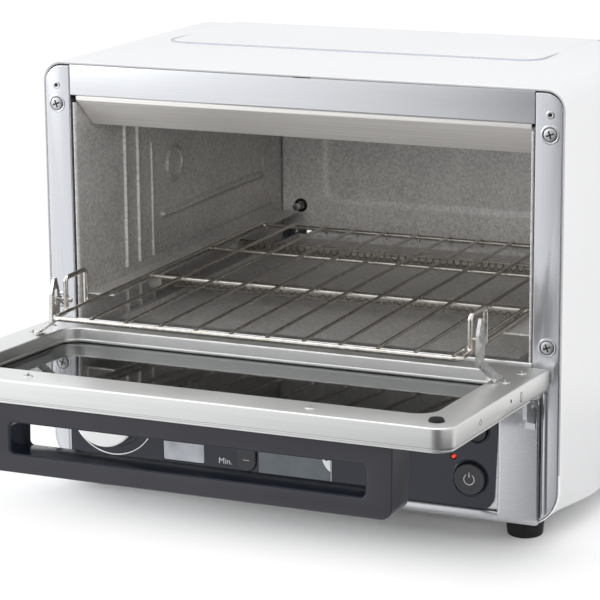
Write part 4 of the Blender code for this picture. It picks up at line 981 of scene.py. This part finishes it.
def make_rack():
    front, rear, top = ARCH
    half = [
        (RACK_SIDE_X, RACK_FRONT_Y, 0.0, 5.0),
        (RACK_SIDE_X, front, 0.0, 3.0),
        (RACK_SIDE_X, front, top, 3.0),
        (RACK_SIDE_X, rear, top, 3.0),
        (RACK_SIDE_X, rear, 0.0, 3.0),
        (RACK_SIDE_X, RACK_REAR_Y, 0.0, 5.0),
    ]
    loop = arc_path(half + [(-x, y, z, radius) for x, y, z, radius in reversed(half)], 8)
    lift = TO_MODEL @ Matrix.Translation((0, 0, RACK_Z))
    pieces = [wire("rack_loop", [loop], FRAME_WIRE, True, lift, 6)]
    rise = FRAME_WIRE + GRID_WIRE - 0.7
    grid = []
    for index in range(GRID_COUNT):
        x = -GRID_OUTER_X + 2 * GRID_OUTER_X * index / (GRID_COUNT - 1)
        grid.append(
            arc_path(
                [
                    (x, RACK_FRONT_Y - 0.4, rise - 0.5, 0),
                    (x, RACK_FRONT_Y + 1.2, rise, 0),
                    (x, RACK_REAR_Y + 2.6, rise, 2.0),
                    (x, RACK_REAR_Y + 2.6, -4.0, 0),
                ],
                5,
                False,
            )
        )
    pieces.append(wire("rack_grid", grid, GRID_WIRE, False, lift, 5))
    drop = rise - GRID_WIRE - FRAME_WIRE + 0.6
    cross = [[(-RACK_SIDE_X, y, drop), (RACK_SIDE_X, y, drop)] for y in (58.0, 146.0)]
    pieces.append(wire("rack_cross", cross, FRAME_WIRE - 0.1, False, lift, 5))
    dress(merged("wire_shelf", pieces), "chrome_wire", "rack", replaces=["wire_rack"])


# ---------------------------------------------------------------- controls


def make_fascia():
    repaint("lower_fascia", "brushed_steel", 0.35)
    repaint("control_panel", "gloss_black", 0.3)
    repaint("hinge_bracket_left", "fascia_steel", 0.25)
    repaint("hinge_bracket_right", "fascia_steel", 0.25)
    for name in ("hinge_pin_left", "hinge_pin_right", "temperature_sensor"):
        repaint(name, "zinc_steel")
    repaint("control_board", "circuit_green")
    repaint("power_board", "circuit_green")
    repaint("dial_encoder", "dark_plastic", 0.4)
    left, right, bottom, top = PANEL_HIGH.x + 0.15, FASCIA_HIGH.x - 0.2, FASCIA_LOW.z + 0.8, 88.0
    across = [left, left + 0.2, left + 0.6, left + 1.1] + spaced(left + 1.8, right, 1.0)
    along = [bottom, bottom + 0.3, bottom + 0.8, bottom + 1.6, bottom + 2.6, bottom + 3.8, bottom + 5.2]

    def rounding(distance, radius):
        return 1.0 - math.sqrt(1.0 - min(max(1.0 - distance / radius, 0.0), 1.0) ** 2)

    def swell(x, z):
        outward = min(max((x - left - 1.1) / (right - left - 1.1), 0.0), 1.0)
        roll = rounding(x - left, 1.1) * ease(z, PANEL_LOW.z - 0.6, PANEL_LOW.z + 0.8)
        raised = 1.9 * (1.0 - outward**2) - 1.2 * roll - 1.6 * rounding(z - bottom, 4.5)
        return raised * (1.0 - ease(z, 72.0, 84.0))

    def strip_swell(x, z):
        return 1.9 - 1.6 * rounding(z - bottom, 4.5) - 1.2 * rounding(PANEL_LOW.z - z, 1.1)

    def face_point(x, z, raised):
        return x, FASCIA_LOW.y - 0.25 - raised, z

    surround = relief_sheet("fascia_surround", across, along + spaced(PANEL_LOW.z, top, 3.0), face_point, swell)
    dress(solidify(surround, 0.5, 1.0), "fascia_steel")
    heights = along[:-1] + [PANEL_LOW.z - 0.8, PANEL_LOW.z - 0.4, PANEL_LOW.z - 0.15]
    strip = relief_sheet("fascia_bottom_strip", spaced(-right, left, 12.0), sorted(heights), face_point, strip_swell)
    dress(solidify(strip, 0.5, 1.0), "fascia_steel")


def make_dial():
    low, high = box_mm("dial_knob")
    centre = ((low.x + high.x) / 2, 0, (low.z + high.z) / 2)
    radius = (high.x - low.x) / 2
    front = -low.y
    profile = [(0, front - 0.35), (radius * 0.8, front - 0.3)]
    profile += arc_path([(radius - 2.4, front - 0.25, 0), (radius - 0.2, front, 1.6), (radius - 0.2, 5.2, 0)], 6, False)
    profile += [(radius - 0.8, 4.9), (4.0, 4.9)]
    knob = turned("dial_cap", profile, centre, "-Y", 96)
    dress(knob, "silver_dial", "dial", replaces=["dial_knob"])
    skirt = turned(
        "dial_skirt",
        [(radius + 0.05, front - 4.2), (radius + 0.12, front - 4.8), (radius + 0.12, 5.4), (radius - 0.5, 5.0)],
        centre, "-Y", 96,
    )
    dress(skirt, "gloss_black", "dial")
    mark = plate("dial_mark", [rounded(centre[0] - 0.5, centre[0] + 0.5, centre[2] + 12, centre[2] + 18.5, 0.45, 4)], "XZ", -front + 0.15, 0.3, 0.1)
    dress(mark, "print_grey", "dial")
    outer = DIAL_RING
    ring = turned(
        "dial_ring",
        [(outer, 0.0), (outer, 0.25), (outer - 0.1, 0.35), (outer - 0.55, 0.35), (outer - 0.65, 0.25), (outer - 0.65, 0.0)],
        (centre[0], PANEL_LOW.y, centre[2]), "-Y", 96,
    )
    dress(ring, "print_white", replaces=["dial_bezel"])
    dish = turned("dial_dish", [(24.4, 0.0), (24.0, 0.5), (22.6, 0.9), (19.3, 0.9), (19.3, 0.0)], (centre[0], PANEL_LOW.y - 0.1, centre[2]), "-Y", 96)
    dress(dish, "gloss_black")


def power_icon(name, place, size, matrix=TO_MODEL):
    """The broken ring and stroke of a standby mark."""
    gap = math.radians(34)
    turns = 40
    ring = [
        (
            place[0] + size * math.sin(gap + (2 * math.pi - 2 * gap) * step / turns),
            place[1],
            place[2] + size * math.cos(gap + (2 * math.pi - 2 * gap) * step / turns),
        )
        for step in range(turns + 1)
    ]
    stroke = [(place[0], place[1], place[2] + size * 0.35), (place[0], place[1], place[2] + size * 1.35)]
    return wire(name, [ring, stroke], 0.24, False, matrix, 2)


def text_mark(name, words, place, size, matrix=TO_MODEL):
    """Generic printing on the panel, facing -Y."""
    font = bpy.data.curves.new(name, "FONT")
    font.body = words
    font.size = size
    font.extrude = 0.03
    font.align_x = "CENTER"
    obj = bpy.data.objects.new(name, font)
    bpy.context.scene.collection.objects.link(obj)
    bpy.context.view_layer.update()
    mesh = bpy.data.meshes.new_from_object(obj.evaluated_get(bpy.context.evaluated_depsgraph_get()))
    bpy.data.objects.remove(obj, do_unlink=True)
    return new_object(name, mesh, matrix @ Matrix.Translation(place) @ Matrix.Rotation(math.pi / 2, 4, "X"))


def make_buttons():
    for node, body, icon in (("power_button", "power_key", True), ("start_button", "start_key", False)):
        low, high = box_mm(node)
        centre = ((low.x + high.x) / 2, 0, (low.z + high.z) / 2)
        radius, proud = (high.x - low.x) / 2, -low.y
        profile = [(0, proud - 0.45), (radius * 0.6, proud - 0.4), (radius * 0.82, proud - 0.2)]
        profile += arc_path([(radius * 0.85, proud - 0.15, 0), (radius, proud - 0.1, 0.7), (radius, -3.8, 0)], 5, False)
        profile.append((0, -3.8))
        dress(turned(f"{node}_cap", profile, centre, "-Y", 64), "key_plastic", body, [node])
        mark = power_icon(f"{node}_icon", (centre[0], -proud + 0.3, centre[2]), radius * 0.34) if icon else wire(
            f"{node}_icon",
            [[(centre[0] - 1.2, -proud + 0.25, centre[2] + 1.6), (centre[0] + 1.6, -proud + 0.25, centre[2]),
              (centre[0] - 1.2, -proud + 0.25, centre[2] - 1.6), (centre[0] - 1.2, -proud + 0.25, centre[2] + 1.6)]],
            0.2, sides=2,
        )
        dress(mark, "print_grey", body)
        well = turned(
            f"{node}_well", [(radius + 0.3, -1.0), (radius + 0.5, 0.05), (radius + 1.5, 0.35), (radius + 2.1, 0.02)],
            (centre[0], PANEL_LOW.y, centre[2]), "-Y", 64,
        )
        dress(well, "gloss_black")
    for node, body, sign in (("minus_button", "minus_key", "-"), ("plus_button", "plus_key", "+")):
        low, high = box_mm(node)
        half = (high.x - low.x) / 2
        x, z = (low.x + high.x) / 2, (low.z + high.z) / 2
        outline = arc_path(
            [(low.x, low.z, half - 0.1), (high.x, low.z, half - 0.1), (high.x, high.z, 1.0), (low.x, high.z, 1.0)], 10
        )
        key = plate(f"{node}_cap", [outline], "XZ", low.y, high.y - low.y, 0.8, rings=4)
        dress(key, "key_plastic", body, [node])
        strokes = [[(x - 2, low.y - 0.02, z - 2), (x + 2, low.y - 0.02, z - 2)]]
        if sign == "+":
            strokes.append([(x, low.y - 0.02, z - 4), (x, low.y - 0.02, z)])
        dress(wire(f"{node}_icon", strokes, 0.22, sides=2), "print_grey", body)


def make_displays():
    low, high = box_mm("lcd_display")
    outline = rounded(low.x, high.x, low.z, high.z, 1.2, 5)
    dress(plate("lcd_window", [outline], "XZ", low.y - 0.35, high.y - low.y, 0.3), "display_lens", replaces=["lcd_display"])
    face = low.y - 0.42
    rings = []
    for x in (low.x + 7.5, high.x - 8.5):
        rings.append([(x + 5.2 * math.cos(a), face, low.z + 15 + 5.2 * math.sin(a)) for a in [math.pi * k / 20 for k in range(41)]])
    dress(wire("lcd_segments", rings, 0.16, sides=1), "display_lens")
    dress(text_mark("label_minutes", "Min.", (-46.2, PANEL_LOW.y - 0.05, 27.5), 5.4), "print_grey")
    face = PANEL_LOW.y
    window = [rounded(-23.8, 23.2, 21.2, 60.0, 0.6, 3)]
    dress(plate("function_window", window, "XZ", face - 0.2, 0.4, 0.1), "function_lens")
    frame_line = [[(23.8, face - 0.05, 60.0), (23.8, face - 0.05, 21.2), (72.0, face - 0.05, 21.2), (72.0, face - 0.05, 60.0)]]
    dress(wire("function_line", frame_line, 0.28, sides=2), "print_white")
    arc = [(29.0 + 11.0 * math.cos(a), 40.0 + 11.0 * math.sin(a)) for a in spaced(math.radians(121), math.radians(239), 0.1)]
    dress(plate("function_mark", [arc], "XZ", face - 0.35, 0.3, 0.1), "print_white")
    dots = [[(20.3, face - 0.4, 41.6), (21.9, face - 0.4, 41.0)], [(20.6, face - 0.4, 37.4), (22.0, face - 0.4, 38.2)]]
    dress(wire("function_mark_lines", dots, 0.45, sides=2), "gloss_black")
    led_low, led_high = box_mm("led_lens")
    centre = ((led_low.x + led_high.x) / 2, led_low.y, (led_low.z + led_high.z) / 2)
    lens = turned("led_dome", [(0, 0.3), (0.6, 0.22), (0.95, -0.02), (1.1, -0.4), (1.1, -2.0)], centre, "-Y", 32)
    dress(lens, "red_lens", replaces=["led_lens"])


# ---------------------------------------------------------------- rear, base and feet


def make_rear():
    repaint("rear_cover", "zinc_steel", 0.2)
    repaint("cord_gland", "rubber", 0.4)
    low, high = box_mm("rear_cover")
    for index, (x, z) in enumerate([(-152, 30), (152, 30), (-152, 120), (152, 120), (-140, high.z - 12), (140, high.z - 12)]):
        screw = cross_screw(f"rear_screw_{index}", (x, high.y - 0.1, z), "+Y", 3.4)
        dress(screw, "zinc_steel")


def make_base():
    """The bottom sheet, whose front corners follow the casing's tucked hem."""
    low, high = box_mm("base_plate")
    tuck = HEM_RADIUS * (1 - math.cos(1.1))
    corners = [(low.x + tuck, low.y, 3.0), (high.x - tuck, low.y, 3.0)]
    corners += [(high.x - tuck, low.y + 14, 20.0), (high.x - 2, 92.0, 40.0), (high.x - 2, high.y, 2.0)]
    corners += [(low.x + 2, high.y, 2.0), (low.x + 2, 92.0, 40.0), (low.x + tuck, low.y + 14, 20.0)]
    base = plate("base_sheet", [arc_path(corners, 6)], "XY", low.z, high.z - low.z, 0.3)
    dress(base, "zinc_steel", replaces=["base_plate"])


def make_feet():
    for node in ("foot_front_left", "foot_front_right", "foot_rear_left", "foot_rear_right"):
        low, high = box_mm(node)
        radius, height = (high.x - low.x) / 2 - (1.5 if "front" in node else 0.0), high.z
        profile = arc_path(
            [(0, 1.2, 0), (4.0, 1.2, 0.5), (5.0, 0.0, 0.5), (radius - 1.0, 0.0, 2.0), (radius, height - 0.5, 0.4), (0, height, 0)], 6, False
        )
        foot = turned(f"{node}_pad", profile, ((low.x + high.x) / 2, (low.y + high.y) / 2, 0), "Z", 56)
        dress(foot, "rubber", replaces=[node])


# ---------------------------------------------------------------- stage


def flat_stage(name, left, right, front, rear, height):
    """A level stage rectangle, in metres."""
    mesh = bpy.data.meshes.new(name)
    corners = [(left, front, height), (right, front, height), (right, rear, height), (left, rear, height)]
    mesh.from_pydata(corners, [], [(0, 1, 2, 3)])
    obj = bpy.data.objects.new(name, mesh)
    bpy.context.scene.collection.objects.link(obj)
    return obj


def glossy_card(name, mesh_obj, strength):
    """A stage card that only reflections see. strength(tree, x, y, z) gives its glow."""
    material, tree, shader, coords = new_material(name)
    parts = add_node(tree, "ShaderNodeSeparateXYZ", {0: coords}).outputs
    glow = add_node(tree, "ShaderNodeEmission", {"Color": (0.97, 0.98, 1, 1)})
    tree.links.new(strength(tree, *parts[:3]), glow.inputs["Strength"])
    tree.links.new(glow.outputs[0], tree.nodes["Material Output"].inputs["Surface"])
    mesh_obj.data.materials.append(material)
    mesh_obj.visible_camera = False
    mesh_obj.visible_diffuse = False
    mesh_obj.visible_shadow = False
    mesh_obj.visible_transmission = False


def make_stage():
    """A white floor that glows evenly away from the oven, and dark cards that only reflections see."""
    floor = flat_stage("floor", -6, 6, -6, 6, 0.0)
    material, tree, shader, coords = new_material("floor_white")
    shader.inputs["Base Color"].default_value = (0.96, 0.96, 0.965, 1.0)
    shader.inputs["Roughness"].default_value = 0.6
    shader.inputs["Specular IOR Level"].default_value = 0.2
    glow = add_node(tree, "ShaderNodeEmission", {"Color": (1, 1, 1, 1), "Strength": 1.02})
    offset = add_node(tree, "ShaderNodeVectorMath", {0: coords, 1: (-0.02, 0.08, 0.0)}, operation="SUBTRACT").outputs[0]
    side = add_node(tree, "ShaderNodeVectorMath", {0: offset}, operation="ABSOLUTE").outputs[0]
    past = add_node(tree, "ShaderNodeVectorMath", {0: side, 1: (0.15, 0.16, 0.0)}, operation="SUBTRACT").outputs[0]
    past = add_node(tree, "ShaderNodeVectorMath", {0: past, 1: (0.0, 0.0, 0.0)}, operation="MAXIMUM").outputs[0]
    far = add_node(tree, "ShaderNodeVectorMath", {0: past}, operation="LENGTH").outputs["Value"]
    blend = add_node(
        tree, "ShaderNodeMapRange",
        {"Value": far, "From Min": 0.0, "From Max": 0.1, "To Min": 0.0, "To Max": 1.0},
        interpolation_type="SMOOTHSTEP",
    )
    mixed = add_node(tree, "ShaderNodeMixShader", {0: blend.outputs["Result"]})
    tree.links.new(shader.outputs[0], mixed.inputs[1])
    tree.links.new(glow.outputs[0], mixed.inputs[2])
    tree.links.new(mixed.outputs[0], tree.nodes["Material Output"].inputs["Surface"])
    floor.data.materials.append(material)

    def fading(tree, value, start, end):
        inputs = {"Value": value, "From Min": start, "From Max": end, "To Min": 1.0, "To Max": 0.03}
        return add_node(tree, "ShaderNodeMapRange", inputs).outputs["Result"]

    def far_shade(tree, x, y, z):
        return mix_float(
            tree, "MULTIPLY", fading(tree, mix_float(tree, "SUBTRACT", x, y), 0.93, 1.5), fading(tree, x, 0.03, 0.3)
        )

    glossy_card("card_far", flat_stage("card_far", -1.5, 1.2, -2.2, -0.55, 0.004), far_shade)
    middle = flat_stage("card_middle", -0.5, 0.8, -0.55, -0.42, 0.004)
    glossy_card("card_middle", middle, lambda tree, x, y, z: fading(tree, x, -0.28, 0.03))
    near = flat_stage("card_near", -0.5, 0.8, -0.42, -0.1, 0.004)
    glossy_card("card_near", near, lambda tree, x, y, z: fading(tree, x, 0.07, 0.23))
    right = flat_stage("card_right", 0.17, 0.32, -0.1, 0.2, 0.004)
    glossy_card("card_right", right, lambda tree, x, y, z: fading(tree, x, 0.36, 0.22))
    standing = flat_stage("card_standing", 0.0, 1.7, 0.0, 0.9, 0.0)
    standing.data.transform(Matrix.Translation((-0.1, -1.75, 0.0)) @ Matrix.Rotation(math.pi / 2, 4, "X"))
    glossy_card("card_standing", standing, lambda tree, x, y, z: fading(tree, x, -0.1, 0.1))

    world = bpy.data.worlds.new("studio")
    world.use_nodes = True
    bpy.context.scene.world = world
    tree = world.node_tree
    sky = tree.nodes["Background"]
    sky.inputs["Color"].default_value = (0.97, 0.98, 1.0, 1.0)
    bright = add_node(tree, "ShaderNodeBackground", {"Color": (1, 1, 1, 1), "Strength": 1.0})
    path = add_node(tree, "ShaderNodeLightPath")
    mirrored = add_node(tree, "ShaderNodeMapRange", {"Value": path.outputs["Is Glossy Ray"], "To Min": 0.58, "To Max": 0.95})
    tree.links.new(mirrored.outputs["Result"], sky.inputs["Strength"])
    mixed = add_node(tree, "ShaderNodeMixShader", {0: path.outputs["Is Camera Ray"]})
    tree.links.new(sky.outputs[0], mixed.inputs[1])
    tree.links.new(bright.outputs[0], mixed.inputs[2])
    tree.links.new(mixed.outputs[0], tree.nodes["World Output"].inputs["Surface"])


def area_light(name, place, target, size, power, color=(1, 1, 1)):
    light = bpy.data.lights.new(name, "AREA")
    light.shape = "RECTANGLE"
    light.size, light.size_y = size
    light.energy = power
    light.color = color
    obj = bpy.data.objects.new(name, light)
    bpy.context.scene.collection.objects.link(obj)
    obj.location = place
    obj.rotation_euler = (Vector(target) - Vector(place)).to_track_quat("-Z", "Y").to_euler()
    return obj


def make_lights():
    aim = (0.0, 0.0, 0.12)
    area_light("softbox_top", (-0.15, 0.1, 1.6), aim, (1.7, 1.7), 10.2)
    area_light("softbox_left", (-1.5, -0.9, 0.8), aim, (1.3, 1.2), 13.5, (0.98, 0.99, 1.0))
    front = area_light("softbox_front", (0.25, -2.1, 0.75), (0.0, 0.0, 0.15), (1.1, 0.7), 26.0, (1.0, 0.99, 0.97))
    right = area_light("softbox_right", (1.5, -0.1, 0.6), (0.166, 0.1, 0.12), (1.0, 0.9), 6.5)
    front.visible_glossy = right.visible_glossy = False


def make_camera():
    azimuth, elevation, roll = math.radians(23.9), math.radians(13.39), math.radians(-0.46)
    distance = 1519.6 * MM
    target = Vector((3.3 * MM, FRONT_Y, 133.9 * MM))
    back = Vector(
        (
            math.sin(azimuth) * math.cos(elevation),
            -math.cos(azimuth) * math.cos(elevation),
            math.sin(elevation),
        )
    )
    data = bpy.data.cameras.new("camera")
    data.sensor_width = 36.0
    data.lens = 153.84
    data.clip_start, data.clip_end = 0.05, 30.0
    camera = bpy.data.objects.new("camera", data)
    bpy.context.scene.collection.objects.link(camera)
    rotation = (-back).to_track_quat("-Z", "Y").to_matrix().to_4x4() @ Matrix.Rotation(roll, 4, "Z")
    camera.matrix_world = Matrix.Translation(target + back * distance) @ rotation
    bpy.context.scene.camera = camera


bpy.context.scene.view_settings.view_transform = "Standard"
make_casing()
make_front_frame()
make_frame_screws()
make_cavity()
make_heaters()
make_door()
make_rack()
make_fascia()
make_dial()
make_buttons()
make_displays()
make_rear()
make_base()
make_feet()
make_stage()
make_lights()
make_camera()
